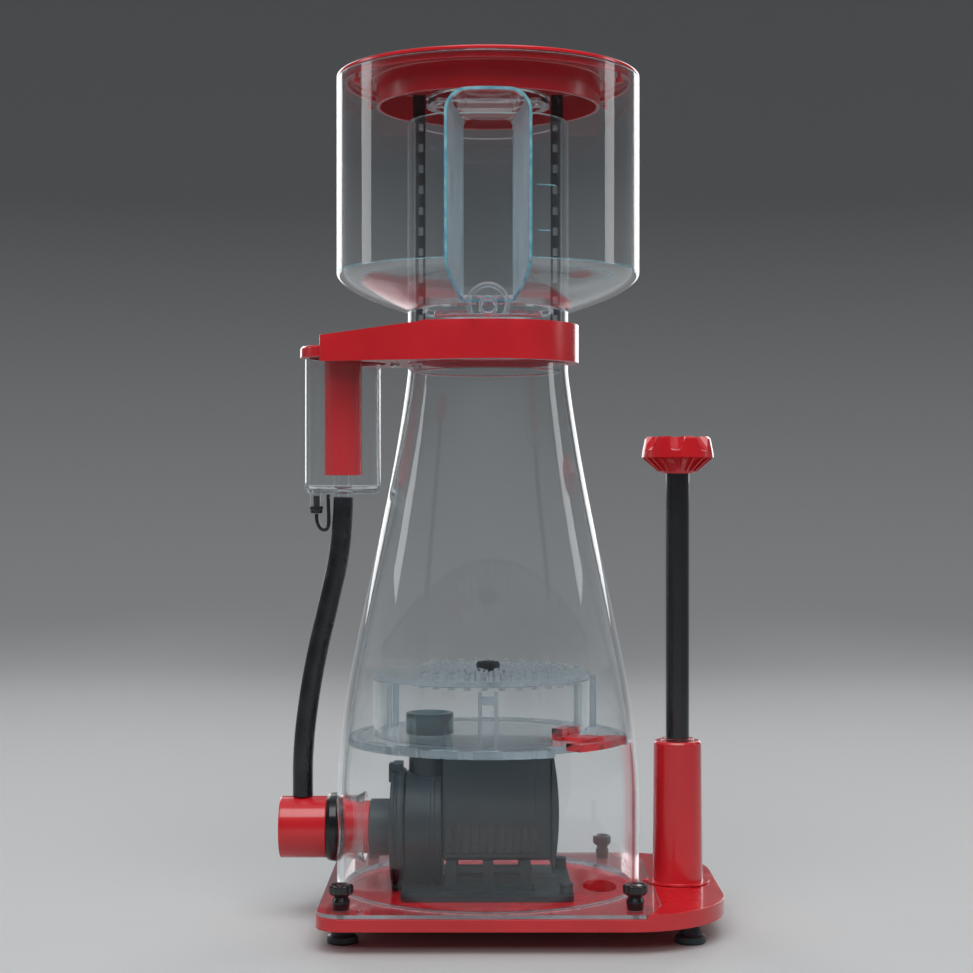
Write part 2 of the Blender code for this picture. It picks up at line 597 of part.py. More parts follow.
def niche_section(y, grow, bottom):
    """The outline of the niche at one depth: an arch on two straight sides."""
    share = (y - NICHE_BACK_Y) / (NICHE_FRONT_Y - NICHE_BACK_Y)
    half = NICHE_BACK_HALF + (NICHE_FRONT_HALF - NICHE_BACK_HALF) * share + grow
    top = NICHE_BACK_TOP + (NICHE_FRONT_TOP - NICHE_BACK_TOP) * share + grow
    corner = NICHE_BACK_CORNER + (NICHE_FRONT_CORNER - NICHE_BACK_CORNER) * share + grow
    left = [(x, z) for x, z in arc(-half + corner, top - corner, corner, 180, 90, 4)]
    right = [(x, z) for x, z in arc(half - corner, top - corner, corner, 90, 0, 4)]
    return [(x, y, z) for x, z in [(-half, bottom), *left, *right, (half, bottom)]]


def niche_solid(name, front, back, grow, bottom):
    """A loft between two of the niche's sections."""
    bm = bmesh.new()
    near = [bm.verts.new(point) for point in niche_section(front, grow, bottom)]
    far = [bm.verts.new(point) for point in niche_section(back, grow, bottom)]
    bm.faces.new(near)
    bm.faces.new(far[::-1])
    for i in range(len(near)):
        j = (i + 1) % len(near)
        bm.faces.new((near[j], near[i], far[i], far[j]))
    return keep(finish_bmesh(bm, name), name, None, cutter=True)


def cup_shell():
    def bowl(inset):
        return bezier((CUP_R - inset, CUP_WALL_BOTTOM + inset * 0.4), (CUP_R - inset, 408.0 + inset),
                      (80.0, 400.0 + inset), (RISER_R + GAP, BOWL_EDGE_Z + inset), 4)
    profile = [(CUP_R, CUP_TOP)] + bowl(0) + bowl(WALL)[::-1] + [(CUP_R - WALL, CUP_TOP)]
    shell = turned("cup_shell", profile, CLEAR, steps=ROUND)
    add_to(shell, niche_solid("niche_wall", -91.0, NICHE_BACK_Y + NICHE_WALL, NICHE_WALL, 392.5))
    boss = rod("drain_boss", 13.6, -67.4, -55.6, at=(0, 0, BOSS_Z), along="Y", steps=22, cutter=True)
    spigot = rod("drain_spigot", 5.7, -84.0, -60.0, at=(0, 0, SPIGOT_Z), along="Y", steps=14, cutter=True)
    add_floor = box("boss_floor", (-20, -90, 370), (20, -50, 383.6), cutter=True)
    hollow = niche_solid("niche_hollow", -115.0, NICHE_BACK_Y, 0.0, 360.0)
    cut_by(shell, hollow)
    add_to(shell, boss, spigot)
    bore = rod("drain_bore", 4.2, -90.0, -61.0, at=(0, 0, SPIGOT_Z), along="Y", steps=12, cutter=True)
    rise = rod("drain_rise", 2.0, -9.0, 9.0, at=(0, -59.4, 391.8), steps=8, cutter=True)
    rise.rotation_euler = (atan2(-10.4, 7.6), 0, 0)
    return cut_by(shell, add_floor, bore, rise)


def riser_tube():
    profile = [(RISER_R, RISER_TOP), (RISER_R, NECK_TOP + GAP), (SPIGOT_R, NECK_TOP + GAP), (SPIGOT_R, 366.4),
               (45.1, 366.4), (45.1, 363.6), (SPIGOT_R, 363.6), (SPIGOT_R, NECK_BOTTOM),
               (43.5, NECK_BOTTOM), (43.5, NECK_TOP + 1.0), (47.7, NECK_TOP + 1.0), (47.7, RISER_TOP)]
    turned("riser_tube", profile, CLEAR, steps=ROUND)


def neck_oring():
    torus("neck_oring", 46.45, 0.9, RUBBER, (0, 0, 365.0))


def wiper():
    hub = turned("wiper_carrier", tube_profile(40.0, 34.0, 522.6, 528.6), CLEAR, steps=28)
    bar = box("carrier_bar", (-37, -5.0, 523.0), (37, 5.0, 528.2), cutter=True)
    add_to(hub, bar)
    for side, name in ((-1, "wiper_blade_left"), (1, "wiper_blade_right")):
        low, high = sorted((side * 40.3, side * 46.9))
        blade = box(name, (low, -3.0, 375.0), (high, 3.0, 520.0), BLACK)
        low, high = sorted((side * 40.3, side * 48.2))
        add_to(blade, box(f"{name}_head", (low, -3.4, 512.8), (high, 3.4, 530.5), cutter=True))
        windows = [box("window", (side * 43.2 - 1.7, -8, 384 + 13.6 * i), (side * 43.2 + 1.7, 8, 389 + 13.6 * i),
                       cutter=True) for i in range(10)]
        cut_by(blade, joined(f"{name}_windows", windows))


def lid():
    top_inside = LID_TOP - 3.0
    profile = [(0, LID_TOP), (96.4, LID_TOP), (CUP_R, LID_TOP - 0.8), (CUP_R, CUP_TOP + GAP), (92.7, CUP_TOP + GAP),
               (92.7, 535.8), (90.3, 535.8), (90.3, top_inside), (72.1, top_inside), (72.1, 521.8), (69.6, 521.8),
               (69.6, top_inside), (38.0, top_inside), (38.0, 529.2), (35.0, 529.2), (35.0, top_inside), (0, top_inside)]
    turned("lid", profile, RED, steps=ROUND)


# ---------------------------------------------------------------- collar and silencer

def collar_bracket():
    corner_x, corner_y = ARM_END_X + ARM_CORNER, ARM_HALF - ARM_CORNER
    tangent = degrees(atan2(corner_y, corner_x) - acos((COLLAR_R - ARM_CORNER) / hypot(corner_x, corner_y)))
    hull = (arc(0, 0, COLLAR_R, -tangent, tangent, 22)
            + arc(corner_x, corner_y, ARM_CORNER, tangent, 180, 3)
            + arc(corner_x, -corner_y, ARM_CORNER, 180, 360 - tangent, 3))
    bracket = plate("collar_bracket", [hull], COLLAR_BOTTOM, COLLAR_TOP, RED)
    slope = box("arm_slope", (-120, -80, 0), (0, 80, 20), cutter=True)
    slope.location = Vector((ARM_SLOPE_X, 0, ARM_SLOPE_TOP)) * MM
    slope.rotation_euler = (0, -atan2(ARM_SLOPE_TOP - ARM_TIP_TOP, ARM_SLOPE_X - ARM_END_X), 0)
    slope.data.transform(Matrix.Translation((-60 * MM, 0, 10 * MM)))
    cap_room = rod("cap_room", CAP_R + 0.5, 340, CAP_TOP + GAP, at=(SILENCER_X, 0, 0), steps=24,
                   cutter=True)
    bore = rod("collar_bore", COLLAR_BORE, 340, 400, steps=ROUND, cutter=True)
    screw_hole = rod("screw_hole", 1.9, 350, 373, at=(-60.0, 0, 0), steps=10, cutter=True)
    hub_hole = rod("hub_hole", 4.0, 350, 373, at=(SILENCER_X, 0, 0), steps=14, cutter=True)
    return cut_by(bracket, slope, cap_room, bore, joined("bracket_holes", [screw_hole, hub_hole]))


def bracket_screw():
    profile = [(0, 370), (1.5, 370), (1.5, COLLAR_BOTTOM - GAP), (3.2, COLLAR_BOTTOM - GAP), (3.2, 356.2),
               (2.4, 355.6), (0, 355.6)]
    turned("bracket_screw", profile, STEEL, (-60.0, 0, 0), steps=10)


def silencer():
    profile = [(0, 372.4), (3.6, 372.4), (3.6, CAP_TOP), (CAP_R - 1, CAP_TOP), (CAP_R, CAP_TOP - 1), (CAP_R, CAP_BOTTOM),
               (SILENCER_R + 0.4, CAP_BOTTOM), (SILENCER_R + 0.4, SILENCER_TOP + GAP), (12.1, SILENCER_TOP + GAP),
               (12.1, 286.0), (10.0, 286.0), (10.0, 363.0), (0, 363.0)]
    cap = turned("silencer_cap", profile, RED, (SILENCER_X, 0, 0), steps=24)
    holes = [rod("air_hole", 1.6, 355, 380, steps=6, cutter=True,
                 at=(SILENCER_X + 18.5 * cos(radians(angle)), 18.5 * sin(radians(angle)), 0))
             for angle in (120, 150, 180, 210, 240)]
    cut_by(cap, joined("air_holes", holes))
    r, wall = SILENCER_R, 2.3
    profile = [(r, SILENCER_TOP), (r, SILENCER_BOTTOM + 3.5), (r - 1, SILENCER_BOTTOM + 1), (r - 3.5, SILENCER_BOTTOM),
               (5.2, SILENCER_BOTTOM), (5.2, SILENCER_BOTTOM + 3), (r - wall - 2, SILENCER_BOTTOM + 3),
               (r - wall, SILENCER_BOTTOM + 5), (r - wall, SILENCER_TOP)]
    chamber = turned("silencer_chamber", profile, CLEAR, (SILENCER_X, 0, 0), steps=24)
    stub = rod("drain_stub", 4.1, DRAIN_STUB_BOTTOM, SILENCER_BOTTOM + 2, at=(DRAIN_STUB_X, 0, 0),
               steps=12, cutter=True)
    bore = rod("stub_bore", 2.4, 260, 290, at=(DRAIN_STUB_X, 0, 0), steps=10, cutter=True)
    cut_by(add_to(chamber, stub), bore)
    profile = [(6.1, 345.0), (6.1, SILENCER_BOTTOM + 3 + GAP), (4.9, SILENCER_BOTTOM + 3 + GAP), (4.9, 272.4),
               (3.3, 272.4), (3.3, 345.0)]
    turned("silencer_standpipe", profile, CLEAR, (SILENCER_X, 0, 0), steps=14)


def drain_plug():
    profile = [(0, 273.0), (2.0, 273.0), (2.0, DRAIN_STUB_BOTTOM - GAP), (4.1, DRAIN_STUB_BOTTOM - GAP), (4.1, 261.5),
               (0, 261.5)]
    turned("drain_plug", profile, RUBBER, (DRAIN_STUB_X, 0, 0), steps=12)


def hose_and_tether():
    cord("air_hose", HOSE_ROUTE, HOSE_D, RUBBER, 3)
    cord("drain_plug_tether", TETHER_ROUTE, TETHER_D, RUBBER, 1)


# ---------------------------------------------------------------- outlet

def outlet_pipe():
    foot = DECK_TOP + GAP
    profile = [(8.0, OUTLET_TOP), (14.6, OUTLET_TOP), (OUTLET_R, OUTLET_TOP - 1.5), (OUTLET_R, foot + 1.6),
               (20.4, foot + 1.6), (20.4, foot), (13.1, foot), (13.1, OUTLET_TOP - 3), (8.0, OUTLET_TOP - 3)]
    pipe = turned("outlet_pipe", profile, RED, (OUTLET_X, 0, 0), steps=24)
    return cut_by(pipe, box("outlet_window", (OUTLET_X - 7, 5, 50), (OUTLET_X + 7, 30, 100), cutter=True))


def outlet_valve():
    gate = turned("outlet_gate", [(12.6, 104.0), (12.6, 25.0), (11.0, 25.0), (11.0, 101.5), (7.9, 101.5), (7.9, 104.0)],
                  BLACK, (OUTLET_X, 0, 0), steps=20)
    wedge = plate("gate_window", [[(-11, 30), (12, 30), (9, 96), (5, 96)]], -30, -2, cutter=True)
    wedge.rotation_euler = (pi / 2, 0, 0)
    wedge.location = Vector((OUTLET_X, 0, 0)) * MM
    cut_by(gate, wedge)
    profile = tube_profile(SHAFT_R, 5.6, 98.0, 300.0)
    turned("outlet_shaft", profile, BLACK, (OUTLET_X, 0, 0), steps=20)
    flare = bezier((23.3, 297.6), (17.0, 296.4), (12.6, 292.0), (10.0, KNOB_BOTTOM), 4)
    profile = [(0, KNOB_TOP), (20.0, KNOB_TOP), (21.2, 310.2), (22.8, 302.0)] + flare
    profile += [(7.8, KNOB_BOTTOM), (7.8, 301.0), (0, 301.0)]
    knob = turned("outlet_knob", profile, RED, (OUTLET_X, 0, 0), steps=28)
    scallops = []
    for i in range(7):
        angle = radians(-97.5 + i * 360 / 7)
        cut = rod("scallop", 5.4, -16, 16, steps=10, cutter=True,
                  at=(OUTLET_X + 26.6 * cos(angle), 26.6 * sin(angle), 312.0))
        cut.rotation_euler = (radians(-22) * -sin(angle), radians(-22) * cos(angle), 0)
        scallops.append(cut)
    cut_by(knob, joined("scallops", scallops))


# ---------------------------------------------------------------- build

for build in (base_plate, outlet_duct, feet, thumbscrews, body_flange, flange_gasket, body_cone, body_inlet_port,
              intake, volute_cover, volute_case, volute_oring, motor_housing, motor_end_cap, stator, rotor,
              pump_stand, pump_outlet_pipe, cable_gland, diffuser_ledge, diffuser_wall, diffuser_plate,
              diffuser_knob, plate_lock, cup_shell, riser_tube, neck_oring, wiper, lid, collar_bracket,
              bracket_screw, silencer, drain_plug, hose_and_tether, outlet_pipe, outlet_valve):
    build()
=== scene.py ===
"""The looks of the protein skimmer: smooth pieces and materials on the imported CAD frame.

Sizes below are in millimetres about the body's axis, and `show` turns them into the frame's metres.
+Z is up, +X points at the outlet pipe, and -Y is the side that faces the camera.
"""
import json
from math import acos, atan2, cos, degrees, hypot, pi, radians, sin, tan

import bmesh
import bpy
from mathutils import Matrix, Vector


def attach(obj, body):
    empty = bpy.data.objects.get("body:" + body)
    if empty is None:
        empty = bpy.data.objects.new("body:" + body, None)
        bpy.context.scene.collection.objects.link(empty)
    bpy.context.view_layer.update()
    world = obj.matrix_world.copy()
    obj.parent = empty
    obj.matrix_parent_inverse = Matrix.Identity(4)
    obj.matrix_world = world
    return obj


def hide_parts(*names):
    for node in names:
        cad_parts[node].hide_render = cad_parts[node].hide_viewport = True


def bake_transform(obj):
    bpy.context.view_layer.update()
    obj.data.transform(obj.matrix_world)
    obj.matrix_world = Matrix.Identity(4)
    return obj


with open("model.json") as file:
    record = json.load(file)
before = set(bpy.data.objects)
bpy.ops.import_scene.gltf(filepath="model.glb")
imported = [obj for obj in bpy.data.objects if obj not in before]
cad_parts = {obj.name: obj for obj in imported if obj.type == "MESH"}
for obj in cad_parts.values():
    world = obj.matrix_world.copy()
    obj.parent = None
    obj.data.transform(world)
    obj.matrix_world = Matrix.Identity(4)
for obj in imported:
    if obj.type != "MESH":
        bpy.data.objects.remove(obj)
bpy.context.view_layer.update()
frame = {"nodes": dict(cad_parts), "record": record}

MM = 0.001
BODY_X = -6.8                 # the body's axis in the frame
GAP = 0.3                     # between touching pieces
AXIS = {"Z": Matrix.Identity(4), "X": Matrix.Rotation(pi / 2, 4, "Y"), "Y": Matrix.Rotation(-pi / 2, 4, "X")}

BASE_BOTTOM, BASE_TOP, DECK_TOP = 13.9, 21.5, 24.2
BASE_LEFT, BASE_RIGHT, BASE_HALF = -104.0, 147.3, 101.0
FOOT_PLACES = [(-89.0, -66.0), (-89.0, 66.0), (123.7, -66.0), (123.7, 66.0)]
THUMBSCREWS = {"front_left": (-88.5, -86.5), "front_right": (88.5, -86.5),
               "rear_left": (-83.0, 81.0), "rear_right": (83.0, 81.0)}
BODY_R, NECK_R, WALL = 97.2, 51.7, 4.0
PUMP_Z = 59.3
ON_PUMP = ((0, 0, PUMP_Z), "X")  # place and direction of what is turned about the pump's axis
OUTLET_X, KNOB_TOP = 122.3, 311.0
SILENCER_X, CAP_R = -93.5, 27.5
STUB_X = -110.7
CUP_R, CUP_TOP, RISER_R, RISER_TOP = 97.4, 540.0, 51.7, 512.0
PIPE_X = -37.6
DRUM_X, DRUM_R, LEDGE_BOTTOM, LEDGE_TOP = -4.2, 69.7, 114.8, 119.6

HOSE_D = 13.0
HOSE_ROUTE = [(-93.5, 272.0), (-93.7, 265.0), (-94.3, 254.0), (-95.3, 242.0), (-97.8, 226.0),
              (-101.2, 211.0), (-104.8, 195.0), (-108.4, 180.0), (-111.7, 164.0), (-114.4, 149.0),
              (-116.7, 133.0), (-118.4, 118.0), (-119.4, 102.0), (-119.5, 90.0), (-119.5, 79.4)]
TETHER_D = 2.4
TETHER_ROUTE = [(-110.7, 261.2), (-110.6, 258.6), (-110.1, 255.6), (-108.6, 252.4), (-106.2, 250.9),
                (-104.1, 251.6), (-103.0, 254.2), (-102.8, 258.4), (-102.9, 263.0), (-103.1, 268.0),
                (-103.2, 273.8)]


def in_scene(name, data):
    thing = bpy.data.objects.new(name, data)
    bpy.context.scene.collection.objects.link(thing)
    return thing


# -------- camera

def place_camera():
    lens = bpy.data.cameras.new("camera")
    lens.sensor_width = 36.0
    lens.lens = 72.2
    lens.clip_start, lens.clip_end = 0.05, 60.0
    camera = in_scene("camera", lens)
    camera.location = (-7.77 * MM, -1260.0 * MM, 278.9 * MM)
    camera.rotation_euler = (pi / 2, 0, 0)
    bpy.context.scene.camera = camera


place_camera()


# -------- shape helpers

def mesh_from(bm):
    bmesh.ops.recalc_face_normals(bm, faces=bm.faces)
    mesh = bpy.data.meshes.new("shape")
    bm.to_mesh(mesh)
    bm.free()
    return mesh


def soften(corners, closed=True, pieces=3):
    """Rounds each (a, b, radius) corner of an outline, with a point on each side that holds the flat beside it."""
    found, count = [], len(corners)
    for i, corner in enumerate(corners):
        here = Vector(corner[:2])
        radius = corner[2] if len(corner) > 2 else 0
        if not radius or (not closed and i in (0, count - 1)):
            found.append(here)
            continue
        before = Vector(corners[i - 1][:2]) - here
        after = Vector(corners[(i + 1) % count][:2]) - here
        room = 0.4 * min(before.length, after.length)
        before.normalize()
        after.normalize()
        angle = before.angle(after)
        reach = min(radius / tan(angle / 2), room)
        middle = here + (before + after).normalized() * reach / cos(angle / 2)
        spoke = here + before * reach - middle
        side = 1 if spoke.x * (after.y - before.y) - spoke.y * (after.x - before.x) > 0 else -1
        sweep = side * (pi - angle)
        found.append(here + before * reach * 1.2)
        for j in range(pieces + 1):
            turn = Matrix.Rotation(sweep * j / pieces, 2)
            found.append(middle + turn @ spoke)
        found.append(here + after * reach * 1.2)
    return [tuple(point) for point in found]


def lathe(profile, at=(0, 0, 0), along="Z", steps=96, pieces=3):
    """A turned shape from (radius, height[, rounding]) corners down its outer side; on the axis it is open."""
    closed = profile[0][0] > 0
    points = soften(profile, closed, pieces)
    bm = bmesh.new()
    rings = []
    for radius, height in points:
        if radius < 1e-6:
            rings.append([bm.verts.new((0, 0, height))] * steps)
        else:
            rings.append([bm.verts.new((radius * cos(2 * pi * k / steps), radius * sin(2 * pi * k / steps),
                                        height))
                          for k in range(steps)])
    pairs = list(zip(rings, rings[1:]))
    if closed:
        pairs.append((rings[-1], rings[0]))
    for upper, lower in pairs:
        for k in range(steps):
            corners = (upper[k], lower[k], lower[(k + 1) % steps], upper[(k + 1) % steps])
            ring = list(dict.fromkeys(corners))
            if len(ring) > 2:
                bm.faces.new(ring)
    mesh = mesh_from(bm)
    mesh.transform(Matrix.Translation(at) @ AXIS[along])
    return mesh


def tube(outer, inner, bottom, top, rounding=0.4):
    return [(outer, top, rounding), (outer, bottom, rounding), (inner, bottom, rounding), (inner, top, rounding)]


def rod(radius, bottom, top, at=(0, 0, 0), along="Z", steps=48, rounding=0.0):
    return lathe([(0, top), (radius, top, rounding), (radius, bottom, rounding), (0, bottom)], at, along, steps)


def block(low, high):
    bm = bmesh.new()
    size = [b - a for a, b in zip(low, high)]
    middle = [(a + b) / 2 for a, b in zip(low, high)]
    bmesh.ops.create_cube(bm, size=1.0, matrix=Matrix.Translation(middle) @ Matrix.Diagonal((*size, 1.0)))
    return mesh_from(bm)


def arc(x, y, radius, start, end, pieces):
    return [(x + radius * cos(radians(start + (end - start) * i / pieces)),
             y + radius * sin(radians(start + (end - start) * i / pieces))) for i in range(pieces + 1)]


def circle(x, y, radius, pieces=64):
    return arc(x, y, radius, 0, 360, pieces)[:-1]


def sector(inner, outer, start, end, pieces=12):
    return arc(0, 0, outer, start, end, pieces) + arc(0, 0, inner, end, start, pieces)


def corners(points, pieces=10):
    """An outline with round corners and without the points that hold a flat."""
    outline = []
    for (x, y, radius), before, after in zip(points, points[-1:] + points[:-1], points[1:] + points[:1]):
        rounded = soften([(*before[:2], 0), (x, y, radius), (*after[:2], 0)], False, pieces)
        outline += rounded[2:-2] if radius else [(x, y)]
    return outline


def slab(outlines, bottom, top):
    """A flat shape between two heights; the outlines after the first are its holes."""
    curve = bpy.data.curves.new("slab", "CURVE")
    curve.dimensions = "2D"
    curve.fill_mode = "BOTH"
    curve.extrude = (top - bottom) / 2
    for outline in outlines:
        spline = curve.splines.new("POLY")
        spline.points.add(len(outline) - 1)
        spline.use_cyclic_u = True
        for point, (x, y) in zip(spline.points, outline):
            point.co = (x, y, 0, 1)
    holder = in_scene("slab", curve)
    shape = bpy.data.meshes.new_from_object(holder.evaluated_get(bpy.context.evaluated_depsgraph_get()))
    bpy.data.objects.remove(holder)
    bm = bmesh.new()
    bm.from_mesh(shape)
    bmesh.ops.remove_doubles(bm, verts=bm.verts, dist=0.001)
    bmesh.ops.dissolve_limit(bm, angle_limit=radians(0.5), verts=bm.verts, edges=bm.edges)
    mesh = mesh_from(bm)
    mesh.transform(Matrix.Translation((0, 0, (bottom + top) / 2)))
    return mesh


def placed(mesh, *moves):
    for move in moves:
        mesh.transform(move)
    return mesh


def merged(*meshes):
    """Shapes that lie apart from each other as one mesh."""
    bm = bmesh.new()
    for mesh in meshes:
        bm.from_mesh(mesh)
    mesh = bpy.data.meshes.new("merged")
    bm.to_mesh(mesh)
    bm.free()
    return mesh


def with_modifiers(mesh, *settings):
    """The mesh after modifiers, each given as (type, {option: value})."""
    holder = in_scene("holder", mesh)
    others = []
    for kind, options in settings:
        modifier = holder.modifiers.new(kind, kind)
        for option, value in options.items():
            if option == "object":
                value = in_scene("other", value)
                others.append(value)
            setattr(modifier, option, value)
    result = bpy.data.meshes.new_from_object(holder.evaluated_get(bpy.context.evaluated_depsgraph_get()))
    for thing in (holder, *others):
        bpy.data.objects.remove(thing)
    return result


def combine(mesh, operation, *others):
    return with_modifiers(mesh, *(("BOOLEAN", {"operation": operation, "solver": "EXACT", "object": other})
                                  for other in others))


def cut(mesh, *others):
    return combine(mesh, "DIFFERENCE", *others)


def add(mesh, *others):
    return combine(mesh, "UNION", *others)


def bevelled(mesh, width, pieces=2, angle=40):
    """Rounds every edge sharper than the angle."""
    bm = bmesh.new()
    bm.from_mesh(mesh)
    bmesh.ops.remove_doubles(bm, verts=bm.verts, dist=0.003)
    bmesh.ops.dissolve_limit(bm, angle_limit=radians(0.6), verts=bm.verts, edges=bm.edges)
    clean = mesh_from(bm)
    clean.shade_smooth()
    return with_modifiers(clean, ("BEVEL", {"width": width, "segments": pieces, "limit_method": "ANGLE",
                                            "angle_limit": radians(angle), "harden_normals": False,
                                            "use_clamp_overlap": True, "miter_outer": "MITER_ARC"}),
                          ("WEIGHTED_NORMAL", {"keep_sharp": True, "weight": 100}))


def bezier(p0, p1, p2, p3, pieces):
    found = []
    for i in range(pieces + 1):
        t = i / pieces
        s = 1 - t
        found.append(tuple(s ** 3 * a + 3 * s * s * t * b + 3 * s * t * t * c + t ** 3 * d
                           for a, b, c, d in zip(p0, p1, p2, p3)))
    return found


def show(name, mesh, stuff, body, *nodes, sharp=36):
    """The shape becomes a piece of that material, riding on a body and standing for its CAD nodes."""
    mesh.transform(Matrix.Scale(MM, 4) @ Matrix.Translation((BODY_X, 0, 0)))
    mesh.name = name
    if not mesh.has_custom_normals:
        mesh.shade_smooth()
        mesh.set_sharp_from_angle(angle=radians(sharp))
    mesh.materials.clear()
    mesh.materials.append(MATERIALS[stuff])
    piece = in_scene(name, mesh)
    if body:
        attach(piece, body)
    if nodes:
        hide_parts(*nodes)
    return piece


# -------- materials

class Surface:
    """A Principled material whose colour, roughness and relief vary over the surface."""

    def __init__(self, name, roughness, metallic=0.0, **sockets):
        self.material = bpy.data.materials.new(name)
        self.material.use_nodes = True
        self.tree = self.material.node_tree
        self.shader = self.tree.nodes["Principled BSDF"]
        self.shader.inputs["Roughness"].default_value = roughness
        self.shader.inputs["Metallic"].default_value = metallic
        for socket, value in sockets.items():
            self.shader.inputs[socket.replace("_", " ")].default_value = value
        self.place = self.node("ShaderNodeTexCoord").outputs["Object"]

    def node(self, kind, **sockets):
        made = self.tree.nodes.new(kind)
        for socket, value in sockets.items():
            made.inputs[socket.replace("_", " ")].default_value = value
        return made

    def link(self, source, target):
        self.tree.links.new(source, target)

    def noise(self, scale, detail=3.0, stretch=(1, 1, 1)):
        """Noise whose grains are 1/scale metres across, longer along an axis whose stretch is small."""
        moved = self.node("ShaderNodeMapping", Scale=stretch)
        self.link(self.place, moved.inputs["Vector"])
        made = self.node("ShaderNodeTexNoise", Scale=scale, Detail=detail)
        self.link(moved.outputs["Vector"], made.inputs["Vector"])
        return made.outputs["Fac"]

    def colours(self, pattern, first, second, low=0.35, high=0.65):
        ramp = self.node("ShaderNodeValToRGB")
        for stop, place, colour in zip(ramp.color_ramp.elements, (low, high), (first, second)):
            stop.position = place
            stop.color = (*colour, 1.0)
        self.link(pattern, ramp.inputs["Fac"])
        self.link(ramp.outputs["Color"], self.shader.inputs["Base Color"])
        return self

    def gloss(self, pattern, low, high):
        spread = self.node("ShaderNodeMapRange", From_Min=0.3, From_Max=0.7, To_Min=low, To_Max=high)
        self.link(pattern, spread.inputs["Value"])
        self.link(spread.outputs["Result"], self.shader.inputs["Roughness"])
        return self

    def relief(self, pattern, strength, depth):
        bump = self.node("ShaderNodeBump", Strength=strength, Distance=depth)
        self.link(pattern, bump.inputs["Height"])
        self.link(bump.outputs["Normal"], self.shader.inputs["Normal"])
        return self

    def lets_lamps_through(self, tint):
        """Lamps shine through the clear surface, which would otherwise shade what is inside it."""
        output = self.tree.nodes["Material Output"]
        clear = self.node("ShaderNodeBsdfTransparent", Color=(*tint, 1.0))
        mix = self.node("ShaderNodeMixShader")
        self.link(self.node("ShaderNodeLightPath").outputs["Is Shadow Ray"], mix.inputs["Fac"])
        self.link(self.shader.outputs["BSDF"], mix.inputs[1])
        self.link(clear.outputs["BSDF"], mix.inputs[2])
        self.link(mix.outputs["Shader"], output.inputs["Surface"])
        return self

    def tinted_depth(self, colour, density):
        """The colour that the clear solid takes on where it is looked through at length."""
        absorb = self.node("ShaderNodeVolumeAbsorption", Color=(*colour, 1.0), Density=density)
        self.link(absorb.outputs["Volume"], self.tree.nodes["Material Output"].inputs["Volume"])
        return self


def red_acrylic():
    made = Surface("red_acrylic", 0.2, IOR=1.49, Coat_Weight=0.5, Coat_Roughness=0.06)
    made.colours(made.noise(14, 4), (0.56, 0.010, 0.016), (0.66, 0.016, 0.024))
    made.gloss(made.noise(55, 5), 0.16, 0.26)
    return made.relief(made.noise(900, 3), 0.05, 0.0002)


def clear_acrylic():
    streaks = (1, 1, 0.08)
    made = Surface("clear_acrylic", 0.0, IOR=1.46, Transmission_Weight=1.0, Sheen_Weight=0.5, Sheen_Roughness=0.22)
    made.shader.inputs["Sheen Tint"].default_value = (0.92, 0.96, 1.0, 1.0)
    made.shader.inputs["Base Color"].default_value = (0.985, 0.995, 1.0, 1.0)
    made.gloss(made.noise(40, 4, streaks), 0.0, 0.035)
    made.relief(made.noise(26, 1, streaks), 0.12, 0.0004)
    made.lets_lamps_through((0.93, 0.96, 0.97))
    return made.tinted_depth((0.28, 0.80, 0.90), 3.5)


def cut_edge():
    """The polished cut edge of a clear sheet, where the light that it carries comes out."""
    made = Surface("cut_edge", 0.08, IOR=1.49, Transmission_Weight=0.55)
    made.colours(made.noise(160, 3), (0.16, 0.46, 0.56), (0.42, 0.74, 0.80))
    made.gloss(made.noise(200, 3), 0.04, 0.14)
    return made.lets_lamps_through((0.8, 0.92, 0.95))


def sawn_haze_and_painted_reflection():
    """A sawn and flame-polished side, which scatters some of its light; its pale grey is also a painted reflection
    of the softboxes on the niche's side walls and a painted highlight on the drain boss.
    """
    made = Surface("sawn_haze_and_painted_reflection", 0.2, IOR=1.46, Transmission_Weight=0.8)
    made.colours(made.noise(30, 4, (1, 1, 0.1)), (0.50, 0.55, 0.58), (0.62, 0.66, 0.70))
    made.gloss(made.noise(120, 4, (1, 1, 0.2)), 0.12, 0.26)
    return made.lets_lamps_through((0.85, 0.9, 0.92))


def pump_plastic():
    made = Surface("pump_plastic", 0.4, IOR=1.5, Specular_IOR_Level=0.5)
    made.colours(made.noise(22, 5), (0.008, 0.018, 0.024), (0.014, 0.027, 0.035))
    made.gloss(made.noise(120, 5), 0.30, 0.44)
    return made.relief(made.noise(1500, 2), 0.12, 0.00006)


def smoke_plastic():
    made = Surface("smoke_plastic", 0.02, IOR=1.5, Transmission_Weight=0.9, Sheen_Weight=0.4, Sheen_Roughness=0.2)
    made.colours(made.noise(60, 4), (0.16, 0.25, 0.28), (0.24, 0.34, 0.37))
    made.gloss(made.noise(80, 4), 0.0, 0.04)
    return made.relief(made.noise(700, 2), 0.05, 0.0001)


def black_plastic():
    made = Surface("black_plastic", 0.2, IOR=1.5, Coat_Weight=0.3, Coat_Roughness=0.05)
    made.colours(made.noise(40, 4), (0.006, 0.006, 0.008), (0.012, 0.013, 0.016))
    made.gloss(made.noise(90, 5), 0.12, 0.26)
    return made.relief(made.noise(1500, 2), 0.08, 0.0001)


def rubber(name="rubber", dark=(0.006, 0.007, 0.009), light=(0.014, 0.016, 0.019), low=0.16, high=0.32):
    made = Surface(name, low, IOR=1.52)
    made.colours(made.noise(70, 5), dark, light)
    made.gloss(made.noise(130, 5), low, high)
    return made.relief(made.noise(1200, 3), 0.12, 0.0001)


def clear_silicone():
    made = Surface("clear_silicone", 0.3, IOR=1.43, Transmission_Weight=0.7)
    made.colours(made.noise(90, 3), (0.72, 0.78, 0.80), (0.86, 0.90, 0.91))
    made.gloss(made.noise(150, 4), 0.2, 0.4)
    return made.lets_lamps_through((0.85, 0.9, 0.9))


